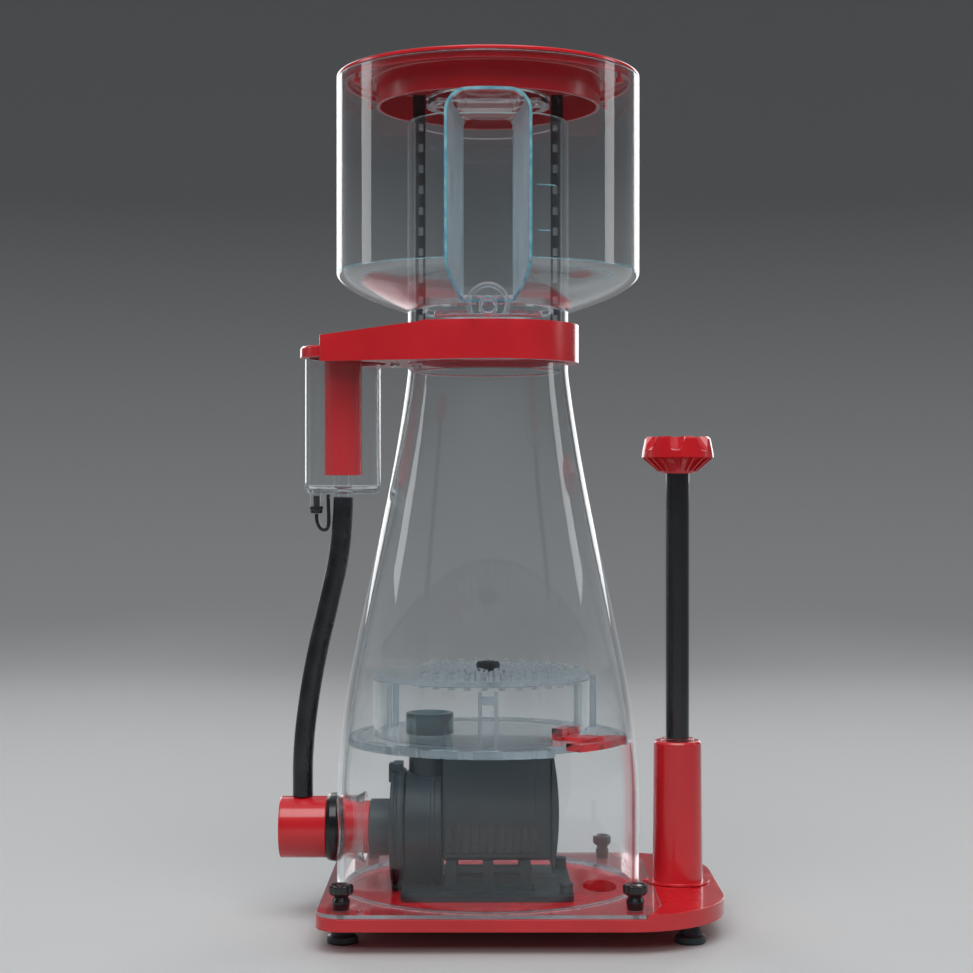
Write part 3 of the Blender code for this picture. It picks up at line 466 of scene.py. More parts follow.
def hard(name, first, second, scale, low, high, metallic=0.0, stretch=(1, 1, 1), relief=0.1):
    """A plain hard material, such as a metal or a ceramic, with its grain."""
    made = Surface(name, low, metallic)
    made.colours(made.noise(scale, 4, stretch), first, second)
    made.gloss(made.noise(scale * 2, 4, stretch), low, high)
    return made.relief(made.noise(scale * 6, 2, stretch), relief, 0.0001)


MATERIALS = {
    "red_acrylic": red_acrylic().material,
    "clear_acrylic": clear_acrylic().material,
    "pump_plastic": pump_plastic().material,
    "smoke_plastic": smoke_plastic().material,
    "black_plastic": black_plastic().material,
    "rubber": rubber().material,
    "foot_rubber": rubber("foot_rubber", (0.018, 0.034, 0.042), (0.030, 0.050, 0.060), 0.35, 0.5).material,
    "clear_silicone": clear_silicone().material,
    "ceramic": hard("ceramic", (0.78, 0.75, 0.68), (0.88, 0.86, 0.80), 300, 0.15, 0.3).material,
    "ferrite_magnet": hard("ferrite_magnet", (0.03, 0.03, 0.032), (0.06, 0.06, 0.064), 500, 0.4, 0.6).material,
    "core_laminations": hard("core_laminations", (0.20, 0.20, 0.21), (0.42, 0.42, 0.44), 900, 0.3, 0.5, 0.9,
                             (1, 0.02, 0.02), 0.5).material,
    "copper_winding": hard("copper_winding", (0.42, 0.15, 0.06), (0.72, 0.32, 0.14), 900, 0.2, 0.4, 0.9,
                           (1, 0.03, 0.03), 0.6).material,
    "stainless_steel": hard("stainless_steel", (0.5, 0.5, 0.51), (0.68, 0.68, 0.69), 400, 0.15, 0.3, 1.0).material,
}
CUT_EDGE = cut_edge().material
SAWN_HAZE_AND_PAINTED_REFLECTION = sawn_haze_and_painted_reflection().material


def upright(face):
    return abs(face.normal.z) < 0.3


def finish_faces(piece, chosen, stuff=SAWN_HAZE_AND_PAINTED_REFLECTION):
    """Gives the chosen faces their own look: the haze of a clear sheet's sawn side, pale grey painted reflections
    and highlights, and black painted shade.
    """
    piece.data.materials.append(stuff)
    for face in piece.data.polygons:
        face.material_index = 1 if chosen(face) else 0


# -------- cords

def catmull_rom(route, per_leg):
    ends = [route[0], *route, route[-1]]
    found = []
    for a, b, c, d in zip(ends, ends[1:], ends[2:], ends[3:]):
        for step in range(per_leg):
            t = step / per_leg
            found.append(tuple(0.5 * (2 * q + (r - p) * t + (2 * p - 5 * q + 4 * r - s) * t ** 2
                                      + (3 * q - p - 3 * r + s) * t ** 3) for p, q, r, s in zip(a, b, c, d)))
    return found + [route[-1]]


def hose():
    points = [((x + BODY_X) * MM, 0, z * MM) for x, z in catmull_rom(HOSE_ROUTE, 4)]
    curve = bpy.data.curves.new("hose", "CURVE")
    curve.dimensions = "3D"
    curve.bevel_depth = HOSE_D * MM / 2
    curve.bevel_resolution = 10
    curve.use_fill_caps = True
    spline = curve.splines.new("POLY")
    spline.points.add(len(points) - 1)
    for point, place in zip(spline.points, points):
        point.co = (*place, 1)
    spline.use_smooth = True
    curve.materials.append(MATERIALS["rubber"])
    piece = in_scene("hose", curve)
    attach(piece, "body")
    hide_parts("air_hose")


def swept(points, radius):
    """A round cord along points in the XZ plane, with closed ends."""
    sides = 12
    bm = bmesh.new()
    rings = []
    for i, (x, z) in enumerate(points):
        before, after = points[max(i - 1, 0)], points[min(i + 1, len(points) - 1)]
        along = Vector((after[0] - before[0], after[1] - before[1])).normalized()
        rings.append([bm.verts.new((x - along.y * radius * cos(2 * pi * k / sides),
                                    radius * sin(2 * pi * k / sides),
                                    z + along.x * radius * cos(2 * pi * k / sides))) for k in range(sides)])
    for one, two in zip(rings, rings[1:]):
        for k in range(sides):
            bm.faces.new((one[k], one[(k + 1) % sides], two[(k + 1) % sides], two[k]))
    bm.faces.new(rings[0])
    bm.faces.new(rings[-1])
    return mesh_from(bm)


def tether():
    points = catmull_rom(TETHER_ROUTE, 4)
    piece = show("tether", swept(points, TETHER_D / 2), "rubber", None, "drain_plug_tether")
    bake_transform(piece)


# -------- base

def base_outline():
    return corners([(BASE_LEFT, -BASE_HALF, 16), (BASE_RIGHT, -BASE_HALF, 62), (BASE_RIGHT, BASE_HALF, 62),
                    (BASE_LEFT, BASE_HALF, 16)], 16)


def flange_outline():
    left, depth = BASE_LEFT + 1.0, BASE_HALF - GAP
    return corners([(left, -depth, 15), (94.0, -depth, 2), (105.0, -74, 4), (105.0, 74, 4), (94.0, depth, 2),
                    (left, depth, 15)], 8)


def base():
    floor_hole = [(72 + 11 * x, 20 * y) for x, y in circle(0, 0, 1, 48)]
    plate = slab([base_outline(), circle(OUTLET_X, 0, 12.5, 48), floor_hole], BASE_BOTTOM, DECK_TOP)
    rebate = slab([[(-120, -115), (88.6, -115), (105.3, -74), (105.3, 74), (88.6, 115), (-120, 115)]], BASE_TOP,
                  40)
    groove = lathe(tube(97.4, 94.2, 19.6, 23, 0), steps=128)
    seats = [rod(2.6, 15.5, 30, (x, y, 0), steps=24) for x, y in THUMBSCREWS.values()]
    plate = bevelled(cut(plate, rebate, groove, merged(*seats)), 0.7, 3)
    show("base", plate, "red_acrylic", "body", "base_plate")
    holes = [circle(0, 0, BODY_R - WALL + 0.6, 128)] + [circle(x, y, 2.8, 24) for x, y in THUMBSCREWS.values()]
    flange = show("flange", bevelled(slab([flange_outline(), *holes], BASE_TOP + GAP, DECK_TOP), 0.3),
                  "clear_acrylic", "body", "body_flange")
    finish_faces(flange, upright)
    bead = [(95.8 + 0.95 * cos(a), 20.6 - 0.95 * sin(a)) for a in (2 * pi * i / 12 for i in range(12))]
    show("gasket", lathe(bead, steps=128), "clear_silicone", "body", "flange_gasket")
    track = arc(118, 0, 23.5, -90, 90, 24) + arc(78.5, 0, 23.5, 90, 270, 24)
    inner = arc(118, 0, 21.3, -90, 90, 24) + arc(78.5, 0, 21.3, 90, 270, 24)
    duct = cut(slab([track], 6.0, BASE_BOTTOM - GAP), slab([inner], 7.8, 20))
    show("outlet_passage", bevelled(duct, 0.8, 3), "red_acrylic", "body", "outlet_duct")
    pip = lathe([(0, 25.9), (1.9, 25.9, 0.7), (1.9, DECK_TOP + 0.02), (0, DECK_TOP + 0.02)], (-77.3, -92, 0),
                steps=32)
    show("flange_pip", pip, "clear_acrylic", "body")


def feet():
    profile = [(0, 18.5), (2.6, 18.5), (2.6, 13.6), (4.8, 13.6, 0.5), (5.0, 11.6, 0.8), (7.4, 5.6, 1.5),
               (9.3, 4.4, 0.8), (9.7, 1.2, 0.6), (8.9, 0.0, 0.5), (6.0, 0.0, 0.3), (5.6, 0.8), (0, 0.8)]
    for number, (x, y) in enumerate(FOOT_PLACES, 1):
        show(f"rubber_foot_{number}", lathe(profile, (x, y, 0), steps=64), "foot_rubber", "body", f"foot_{number}")


def ripple(mesh, centre, count, depth, low, high, past):
    """Presses grip hollows into the part of a turned shape between two heights and beyond a radius."""
    for vertex in mesh.vertices:
        x, y, z = vertex.co.x - centre[0], vertex.co.y - centre[1], vertex.co.z
        radius = (x * x + y * y) ** 0.5
        if low <= z <= high and radius > past:
            factor = 1 - depth * (0.5 - 0.5 * cos(count * atan2(y, x))) / radius
            vertex.co.x, vertex.co.y = centre[0] + x * factor, centre[1] + y * factor
    return mesh


def thumbscrews():
    profile = [(0, 38.9), (5.0, 39.2, 1.0), (6.0, 39.8, 0.5), (7.5, 39.2, 1.0), (7.5, 34.6, 1.2), (5.2, 33.0, 0.8),
               (4.2, 32.2, 0.5), (5.6, 29.6, 1.2), (5.0, 25.4, 0.6), (5.0, 24.5, 0.2), (2.2, 24.5), (2.2, 16.4),
               (0, 16.4)]
    for place, (x, y) in THUMBSCREWS.items():
        head = ripple(lathe(profile, (x, y, 0), steps=128), (x, y), 12, 0.8, 34.0, 39.7, 6.2)
        show(f"screw_head_{place}", head, "black_plastic", f"screw_{place}", f"thumbscrew_{place}")


# -------- body

def body_curve(inset):
    return bezier((NECK_R - inset, 352), (65 - inset, 242), (BODY_R - inset, 155), (BODY_R - inset, 80), 44)


def body():
    bottom = DECK_TOP + GAP
    profile = ([(NECK_R, 372, 0.5)] + body_curve(0) + [(BODY_R, bottom, 0.4), (BODY_R - WALL, bottom, 0.4)]
               + body_curve(WALL)[::-1] + [(NECK_R - WALL, 372, 0.5)])
    cone = cut(lathe(profile, steps=160), rod(20.6, -110, -80, *ON_PUMP, 64))
    show("cone", cone, "clear_acrylic", "body", "body_cone")
    port = [(23.2, -79.0, 0.5), (20.4, -84.5, 2.0), (20.3, -103.0, 0.4), (17.6, -103.0, 0.4), (17.6, -84.0, 2.0),
            (20.9, -79.0, 0.5)]
    show("inlet_port", lathe(port, *ON_PUMP), "clear_acrylic", "body", "body_inlet_port")


def intake():
    profile = [(16.8, -76.0, 0.4), (16.8, -103.6, 0.5), (19.7, -103.6, 0.6), (19.7, -133.7, 0.8), (16.4, -133.7,
                                                                                                   0.8),
               (16.4, -118.0, 3.0), (9.5, -103.6, 2.0), (9.5, -97.0, 3.0), (14.0, -76.0, 0.4)]
    venturi = cut(lathe(profile, *ON_PUMP, 112), rod(5.0, PUMP_Z + 8, 95, (-119.5, 0, 0), steps=48))
    show("venturi", venturi, "red_acrylic", "body", "intake_venturi")
    profile = [(20.7, -90.0), (21.6, -90.2, 0.8), (22.0, -93.4, 1.2), (20.9, -95.2, 0.8), (22.0, -97.0, 1.2),
               (21.6, -101.2, 1.0), (20.7, -103.2, 0.4), (20.6, -103.0), (20.6, -90.0)]
    ring = lathe(profile, *ON_PUMP, 128)
    show("grommet", cut(ring, rod(BODY_R + 0.4, 10, 110, steps=128)), "rubber", "body", "intake_grommet")


# -------- pump

def volute():
    profile = [(37.4, -53.0, 0.5), (38.1, -54.4, 0.6), (38.1, -57.0, 0.5), (36.9, -57.6, 0.4), (36.9, -58.8, 0.4),
               (37.6, -59.6, 0.5), (37.2, -61.7, 0.8), (31.5, -61.7, 0.5), (31.0, -60.6, 0.4), (24.0, -60.6, 0.5),
               (22.8, -61.7, 0.5), (18.1, -61.7, 1.6), (18.1, -75.7, 0.7), (14.2, -75.7, 0.5), (14.2, -58.6, 1.0),
               (31.0, -58.6, 0.5), (31.0, -53.0, 0.3), (33.9, -53.0, 0.2), (33.9, -54.7, 0.2), (36.2, -54.7, 0.2),
               (36.2, -53.0, 0.2)]
    cover = lathe(profile, *ON_PUMP, 128)
    spider = block((-58.2, -31.5, PUMP_Z - 3.2), (-53.8, 31.5, PUMP_Z + 3.2))
    boss = rod(7.6, -58.0, -52.4, *ON_PUMP, 40)
    clips = [bevelled(block(*ends), 0.7) for ends in (((-63.9, -4.5, 88.5), (-61.2, 4.5, 100.6)),
                                                      ((-61.4, -9.0, 95.4), (-54.8, 9.0, 101.0)),
                                                      ((-61.5, -16.0, 22.0), (-54.8, -6.0, 27.5)))]
    cover = cut(add(cover, *clips, spider, boss), rod(5.3, -57.0, -50, *ON_PUMP, 40),
                block((-80, -60, 0), (-30, 60, 21.95)))
    show("pump_cover", cover, "pump_plastic", "body", "volute_cover")


def volute_body():
    profile = [(36.5, -29.0, 1.2), (36.5, -33.6, 0.3), (37.0, -34.0, 0.3), (37.0, -36.0, 0.3), (36.5, -36.4, 0.3),
               (36.5, -52.2, 0.6), (33.5, -52.2, 0.3), (33.5, -31.5, 1.0), (13.5, -31.5, 0.3), (13.5, -29.0, 0.3)]
    case = lathe(profile, *ON_PUMP, 128)
    neck = rod(13.4, 74, 112, (PIPE_X, 0, 0), steps=64, rounding=0.6)
    neck = cut(neck, rod(34.4, -60, -30.6, *ON_PUMP, 128))
    case = cut(add(case, neck), rod(10.9, 80, 120, (PIPE_X, 0, 0), steps=64),
               block((-60, -60, 0), (-20, 60, 22.6)))
    show("pump_volute", case, "pump_plastic", "body", "volute_case")
    profile = [(15.1, 133.3, 0.6), (15.5, 131.0, 0.5), (15.5, 119.9, 0.4), (13.4, 119.9, 0.3), (13.4, 112.3, 0.4),
               (10.5, 112.3, 0.3), (10.5, 103.0, 0.3), (8.9, 103.0, 0.3), (9.2, 126.0), (11.8, 133.3, 0.5)]
    show("pump_nozzle", lathe(profile, (PIPE_X, 0, 0), steps=96), "smoke_plastic", "body", "pump_outlet_pipe")


def motor():
    front, low, high, slot_floor = 34.0, 44.0, 110.0, 31.4
    shell = bevelled(block((-28.5, -front, low), (39.6, front, high)), 2.4, 4)
    hollow = block((-20, -30.5, 47), (60, 30.5, 106.5))
    well = rod(15.0, -24, 31, *ON_PUMP, 64)
    louvres = []
    for side in (-1, 1):
        near, far = sorted((side * slot_floor, side * 37.0))
        for x in (-24.1 + 5.3 * i for i in range(11)):
            louvres.append(block((x - 1.9, near, 48.3), (x + 1.9, far, 66.0)))
    shell = add(cut(shell, hollow, merged(*louvres)), well)
    shell = cut(shell, rod(13.5, -40, 28.8, *ON_PUMP, 64), rod(13.8, 73.2, 130, (PIPE_X, 0, 0), steps=64))
    seam = cut(block((29.3, -40, 44.5), (29.9, 40, 120)),
               block((28, -front + 0.5, 40), (31, front - 0.5, high - 0.5)))
    shell = show("motor_shell", bevelled(cut(shell, seam), 0.4, 2, 50), "pump_plastic", "body", "motor_housing")
    # The floors of the blind louvre slots take the black material, a painted shade for the dark inside that open
    # louvres show.
    finish_faces(shell, lambda face: -0.5 < abs(face.center.y) / MM - slot_floor < 0.2, MATERIALS["black_plastic"])
    half = (high - 36.0) / 2
    bulge = 3.4
    radius = (half ** 2 + bulge ** 2) / (2 * bulge)
    spread = degrees(acos((radius - bulge) / radius))
    outline = [(39.9, -half), *arc(41.0 + bulge - radius, 0, radius, -spread, spread, 24), (39.9, half)]
    cap = slab([outline], -front + 0.6, front - 0.6)
    cap.transform(Matrix.Translation((0, 0, (high + 36.0) / 2)) @ Matrix.Rotation(pi / 2, 4, "X"))
    show("motor_cap", bevelled(cap, 1.4, 4), "pump_plastic", "body", "motor_end_cap")


def stand():
    tray_half, top = 51.4, 25.1
    tray = slab([corners([(-54, -tray_half, 5), (53, -tray_half, 5), (53, tray_half, 5), (-54, tray_half, 5)], 6)],
                21.8, top)
    legs = []
    for side in (-1, 1):
        near, far = sorted((side * 27.5, side * 34.0))
        for x in (-23.1, 0.0, 23.3):
            legs.append(block((x - 3.3, near, 24), (x + 3.3, far, 43.7)))
        legs.append(block((-20.5, side * 30.5 - 1.2, 36.0), (21.0, side * 30.5 + 1.2, 40.5)))
        legs.append(block((-28.5, side * 30.5 - 2.0, 24.0), (29.0, side * 30.5 + 2.0, 29.0)))
    peg = [(0, 32.2), (4.0, 32.2, 0.9), (4.6, 30.6, 0.4), (4.2, 29.8, 0.3), (4.4, 24), (0, 24)]
    pegs = [lathe(peg, (48.4, y, 0), steps=40) for y in (-42.0, 42.0)]
    tray = add(tray, *legs, merged(*pegs))
    tray = cut(tray, rod(38.7, -70, -28, *ON_PUMP, 96))
    show("pump_tray", bevelled(tray, 0.5, 2, 50), "pump_plastic", "body", "pump_stand")
    profile = [(0, 14.0), (2.6, 14.0, 0.5), (3.2, 9.0), (4.0, 6.0, 0.4), (7.5, 6.0, 0.8), (7.5, 0.3), (0, 0.3)]
    gland = lathe(profile, (22.0, 34.0, 92.0), "Y", 64)
    show("gland", gland, "black_plastic", "body", "cable_gland")


# -------- bubble diffuser

def diffuser():
    slots = [sector(82.2, 85.4, a - 6, a + 6, 6) for a in range(0, 360, 18)
             if not -74 < (a + 180) % 360 - 180 < -4]
    ledge = slab([circle(0, 0, 89.6, 128), circle(PIPE_X, 0, 13.8, 48), *slots], LEDGE_BOTTOM, LEDGE_TOP)
    notch = slab([sector(76.4, 99.0, -63.5, -13.5)], 100, 140)
    teeth = merged(*[placed(block((88.2, -1.4, 110), (92, 1.4, 125)), Matrix.Rotation(radians(a), 4, "Z"))
                     for a in range(0, 360, 9) if not -70 < (a + 180) % 360 - 180 < -8])
    ledge = cut(ledge, notch, teeth)
    posts = []
    for angle in (-90, 30, 150):
        for side in (-1, 1):
            post = block((-1.2 + side * 4.8, -80.7, 119.5), (1.2 + side * 4.8, -75.7, 154.0))
            posts.append(placed(post, Matrix.Rotation(radians(angle + 90), 4, "Z")))
        bridge = block((-3.7, -79.7, 146.5), (3.7, -76.7, 151.5))
        posts.append(placed(bridge, Matrix.Rotation(radians(angle + 90), 4, "Z")))
    ledge = show("ledge", bevelled(add(ledge, *posts), 0.35, 2, 50), "clear_acrylic", "body", "diffuser_ledge")
    finish_faces(ledge, upright)
    wall = lathe(tube(DRUM_R, DRUM_R - 3.0, LEDGE_TOP + GAP, 156.0, 0.4), (DRUM_X, 0, 0), steps=128)
    show("drum", cut(wall, slab([sector(60, 80, -54, -23, 6)], 110, 123.4)), "clear_acrylic", "body",
         "diffuser_wall")
    sieve = slab([circle(DRUM_X, 0, DRUM_R, 128), circle(0, 0, 3.4, 24)], 156.3, 159.3)
    pins = []
    for count, radius in ((9, 16.0), (14, 24.5), (20, 33.0), (26, 41.5), (30, 49.5), (34, 57.0)):
        for i in range(count):
            x, y = radius * cos(2 * pi * (i + 0.3) / count), radius * sin(2 * pi * (i + 0.3) / count)
            if x > -42:
                pins.append(rod(2.3, 153.0, 162.8, (x, y, 0), steps=14, rounding=0.5))
    sieve = show("sieve", add(sieve, merged(*pins)), "clear_acrylic", "body", "diffuser_plate")
    finish_faces(sieve,
                 lambda face: hypot(face.center.x - (BODY_X + DRUM_X) * MM, face.center.y) > (DRUM_R - 0.7) * MM)
    profile = [(0, 166.4), (3.0, 166.4, 0.4), (3.6, 165.6, 0.4), (6.6, 166.0, 0.8), (7.6, 164.4, 0.7), (7.6, 162.0,
                                                                                                        0.8),
               (5.0, 159.7, 0.4), (3.0, 159.6), (3.0, 153.0), (0, 153.0)]
    knob = ripple(lathe(profile, steps=96), (0, 0), 8, 0.8, 161.0, 166.2, 6.0)
    show("sieve_knob", knob, "black_plastic", "body", "diffuser_knob")
    tab = slab([sector(77.0, 89.4, -52, -15, 24)], 116.6, 121.0)
    lever = slab([sector(54, 80, -40.5, -26.5, 8)], 119.9, 122.4)
    grip = slab([sector(54, 61.8, -43.5, -23.5, 10)], 119.9, 127.5)
    show("lock_lever", bevelled(add(tab, lever, grip), 0.8, 3), "red_acrylic", "lock", "plate_lock")


# -------- collection cup

NICHE_FRONT, NICHE_BACK = (-93.7, 24.6, 514.8, 11.4), (-58.0, 15.1, 504.9, 5.0)
NICHE_WALL = 1.8
BOSS_Z, SPIGOT_Z = 390.6, 388.6
SEAM_Z = 416.0


def niche_section(y, grow, bottom, foot):
    """An arch on two straight sides, at one depth."""
    share = (y - NICHE_BACK[0]) / (NICHE_FRONT[0] - NICHE_BACK[0])
    half, top, corner = (b + (f - b) * share + grow for f, b in zip(NICHE_FRONT[1:], NICHE_BACK[1:]))
    left = arc(-half + corner, top - corner, corner, 180, 90, 10)
    right = arc(half - corner, top - corner, corner, 90, 0, 10)
    return [(x, y, z) for x, z in [(-half, bottom + foot), *left, *right, (half, bottom + foot)]]


def niche_solid(front, back, grow, bottom):
    bm = bmesh.new()
    near = [bm.verts.new(point) for point in niche_section(front, grow, bottom, 0)]
    far = [bm.verts.new(point) for point in niche_section(back, grow, bottom, 0)]
    bm.faces.new(near)
    bm.faces.new(far[::-1])
    for i, (one, two) in enumerate(zip(near, far)):
        j = (i + 1) % len(near)
        bm.faces.new((near[j], one, two, far[j]))
    return mesh_from(bm)


def bowl(inset):
    return bezier((CUP_R - inset, 416 + inset * 0.4), (CUP_R - inset, 408 + inset), (80, 400 + inset),
                  (RISER_R + GAP, 391 + inset), 24)


def cup():
    hollow = niche_solid(-115, NICHE_BACK[0], 0, 360)
    room = niche_solid(-115, NICHE_BACK[0] + NICHE_WALL, NICHE_WALL + 0.05, 360)
    profile = ([(CUP_R, CUP_TOP, 0.5), (CUP_R, SEAM_Z + 0.25), (CUP_R - 0.5, SEAM_Z + 0.25), (CUP_R - 0.5,
                                                                                              SEAM_Z - 0.25),
                (CUP_R, SEAM_Z - 0.25)] + bowl(0)[1:] + bowl(WALL)[::-1] + [(CUP_R - WALL, CUP_TOP, 0.5)])
    show("cup_bowl", cut(lathe(profile, steps=160), room), "clear_acrylic", "cup", "cup_shell")
    bead = cut(lathe(tube(CUP_R, CUP_R - 0.46, SEAM_Z - 0.21, SEAM_Z + 0.21, 0.0), steps=160), room)
    show("cup_seam", bead, "clear_acrylic", "cup").data.materials[0] = CUT_EDGE

    solid = lathe([(0, 539)] + [(CUP_R, 539), (CUP_R, 416)] + bowl(0) + [(0, 391)], steps=160)
    core = lathe([(0, 538)] + [(CUP_R - 0.55, 538), (CUP_R - 0.55, 416)]
                 + [(r - 0.4, z + 0.4) for r, z in bowl(0)] + [(0, 391.6)], steps=160)
    moulding = cut(niche_solid(-110, NICHE_BACK[0] + NICHE_WALL - 0.05, NICHE_WALL, 392.0), hollow)
    recess = combine(moulding, "INTERSECT", core)
    niche = show("niche", bevelled(recess, 0.35, 2, 50), "clear_acrylic", "cup")
    # The niche's side walls take the pale grey haze, a painted reflection of the softboxes that such slanted clear
    # walls show.
    finish_faces(niche, lambda face: abs(face.normal.x) > 0.8)
    edge = combine(cut(moulding, core), "INTERSECT", solid)
    show("niche_edge", edge, "clear_acrylic", "cup").data.materials[0] = CUT_EDGE

    below = block((-20, -90, 370), (20, -40, 384.4))
    boss = cut(rod(13.6, -64.0, -55.2, (0, 0, BOSS_Z), "Y", 96, 0.5), below)
    rim = cut(lathe(tube(13.6, 10.2, -67.4, -63.9, 1.3), (0, 0, BOSS_Z), "Y", 96), below)
    boss = add(boss, rim, rod(5.7, -84.0, -63, (0, 0, SPIGOT_Z), "Y", 64, 0.6))
    boss = cut(boss, rod(4.2, -90, -58, (0, 0, SPIGOT_Z), "Y", 48))
    boss = show("drain_boss", boss, "clear_acrylic", "cup")
    # The boss's rim and spigot end take the pale grey haze as a painted highlight.
    finish_faces(boss, lambda face: hypot(face.center.x - BODY_X * MM, face.center.z - BOSS_Z * MM) > 0.0098
                 or face.center.y < -0.0832)
    ledge = slab([corners([(-33, -71.5, 6), (33, -71.5, 6), (33, -42, 2), (-33, -42, 2)], 8)], 384.0, 386.0)
    ledge = cut(ledge, rod(RISER_R + 0.5, 370, 400, steps=128))
    ledge = cut(ledge, cut(rod(13.8, -90, -40, (0, 0, BOSS_Z), "Y", 96), block((-20, -95, 360), (20, -35, 384.2))))
    show("cup_ledge", bevelled(ledge, 0.4, 2), "clear_acrylic", "cup")
    ticks = [slab([sector(CUP_R - 0.5, CUP_R + 0.3, start, end, 8)], height - 0.25, height + 0.25)
             for start, end, height in ((-72.5, -65.5, 459.7), (-72.0, -67.5, 432.4))]
    show("level_ticks", merged(*ticks), "clear_acrylic", "cup").data.materials[0] = CUT_EDGE


def riser():
    profile = [(RISER_R, RISER_TOP, 0.6), (RISER_R, 372.3, 0.5), (47.3, 372.3, 0.3), (47.3, 366.4,
                                                                                      0.2), (45.1, 366.4, 0.2),
               (45.1, 363.6, 0.2), (47.3, 363.6, 0.2), (47.3, 353.0, 0.4), (46.6, 352.0, 0.3), (43.5, 352.0, 0.4),
               (43.5, 373.0, 0.6), (47.7, 373.0, 0.4), (47.7, RISER_TOP, 0.6)]
    show("riser", lathe(profile, steps=144), "clear_acrylic", "cup", "riser_tube")
    ring = [(46.4 + 1.0 * cos(a), 365.0 - 0.9 * sin(a)) for a in (2 * pi * i / 16 for i in range(16))]
    show("neck_seal_ring", lathe(ring, steps=128), "rubber", "neck_seal", "neck_oring")


def wiper():
    hub = lathe(tube(40.0, 34.0, 522.6, 528.6, 0.7), steps=128)
    bar = bevelled(block((-36.5, -5, 523.0), (36.5, 5, 528.2)), 0.8, 3)
    show("carrier", add(hub, bar), "clear_acrylic", "wiper", "wiper_carrier")
    for side, name in ((-1, "left"), (1, "right")):
        low, high = sorted((side * 40.4, side * 46.9))
        wide = sorted((side * 40.4, side * 48.2))
        blade = add(block((low, -3.0, 375.0), (high, 3.0, 520)),
                    block((wide[0], -3.4, 512.8), (wide[1], 3.4, 530.5)))
        holes = [block((side * 43.4 - 1.8, -8, 384 + 13.6 * i), (side * 43.4 + 1.8, 8, 389.4 + 13.6 * i))
                 for i in range(10)]
        holes += [block((side * 43.65 - 2.4 + 1.9 * i, -4, 517), (side * 43.65 - 1.6 + 1.9 * i, -2.4, 532))
                  for i in range(3)]
        holes += [block((low - 1, -0.5, 526), (high + 1, 0.5, 532))]
        show(f"blade_{name}", bevelled(cut(blade, merged(*holes)), 0.25, 2), "black_plastic", "wiper",
             f"wiper_blade_{name}")


def lid():
    top, inside = 542.6, 539.6
    profile = [(0, top - 0.9), (84.0, top - 0.9), (90.5, top - 0.7), (94.6, top, 0.6), (CUP_R, top, 1.0),
               (CUP_R, 540.3, 0.3), (92.7, 540.3, 0.2), (92.7, 535.8, 0.5), (90.3, 535.8, 0.5), (90.3, inside,
                                                                                                 1.0),
               (72.1, inside, 1.0), (72.1, 521.8, 0.6), (69.6, 521.8, 0.6), (69.6, inside, 1.0), (38, inside, 0.8),
               (38, 529.2, 0.5), (35, 529.2, 0.5), (35, inside, 0.8), (0, inside)]
    cover = lathe(profile, steps=160)
    stud = [(0, 537), (0.9, 537), (0.9, 533.6), (1.9, 532.8, 0.7), (1.9, 530.2, 0.9), (0, 529.4)]
    lugs = [lathe(stud, (91.4 * cos(radians(a)), 91.4 * sin(radians(a)), 0), steps=32)
            for a in (29, 151, 209, 331)]
    show("lid_cover", add(cover, merged(*lugs)), "red_acrylic", "lid", "lid")


# -------- collar and silencer

def collar():
    outer, end, half, corner = 58.5, -106.5, 30.5, 3.0
    x, y = end + corner, half - corner
    turn = degrees(atan2(y, x) - acos((outer - corner) / hypot(x, y)))
    hull = [*arc(0, 0, outer, -turn, turn, 110), *arc(x, y, corner, turn, 180, 8),
            *arc(x, -y, corner, 180, 360 - turn, 8)]
    arm = slab([hull], 358.0, 382.5)
    slope_x, slope_top, tip_top = -42.0, 381.8, 374.6
    slope = block((-120, -80, 0), (0, 80, 20))
    slope.transform(Matrix.Translation((slope_x, 0, slope_top))
                    @ Matrix.Rotation(-atan2(slope_top - tip_top, slope_x - end), 4, "Y"))
    cap_room = rod(CAP_R + 0.5, 340, 369.0, (SILENCER_X, 0, 0), steps=96)
    holes = merged(rod(1.9, 350, 373, (-60, 0, 0), steps=24), rod(4.0, 350, 373, (SILENCER_X, 0, 0), steps=32))
    arm = cut(arm, slope, cap_room, rod(52.0, 340, 400, steps=128), holes)
    show("collar", bevelled(arm, 1.3, 4, 32), "red_acrylic", "body", "collar_bracket")
    profile = [(0, 370), (1.5, 370), (1.5, 357.7), (3.2, 357.7, 0.2), (3.2, 356.4, 0.4), (2.2, 355.6, 0.2),
               (1.2, 355.6), (1.2, 356.8), (0, 356.8)]
    show("arm_screw", lathe(profile, (-60, 0, 0), steps=48), "stainless_steel", "body", "bracket_screw")


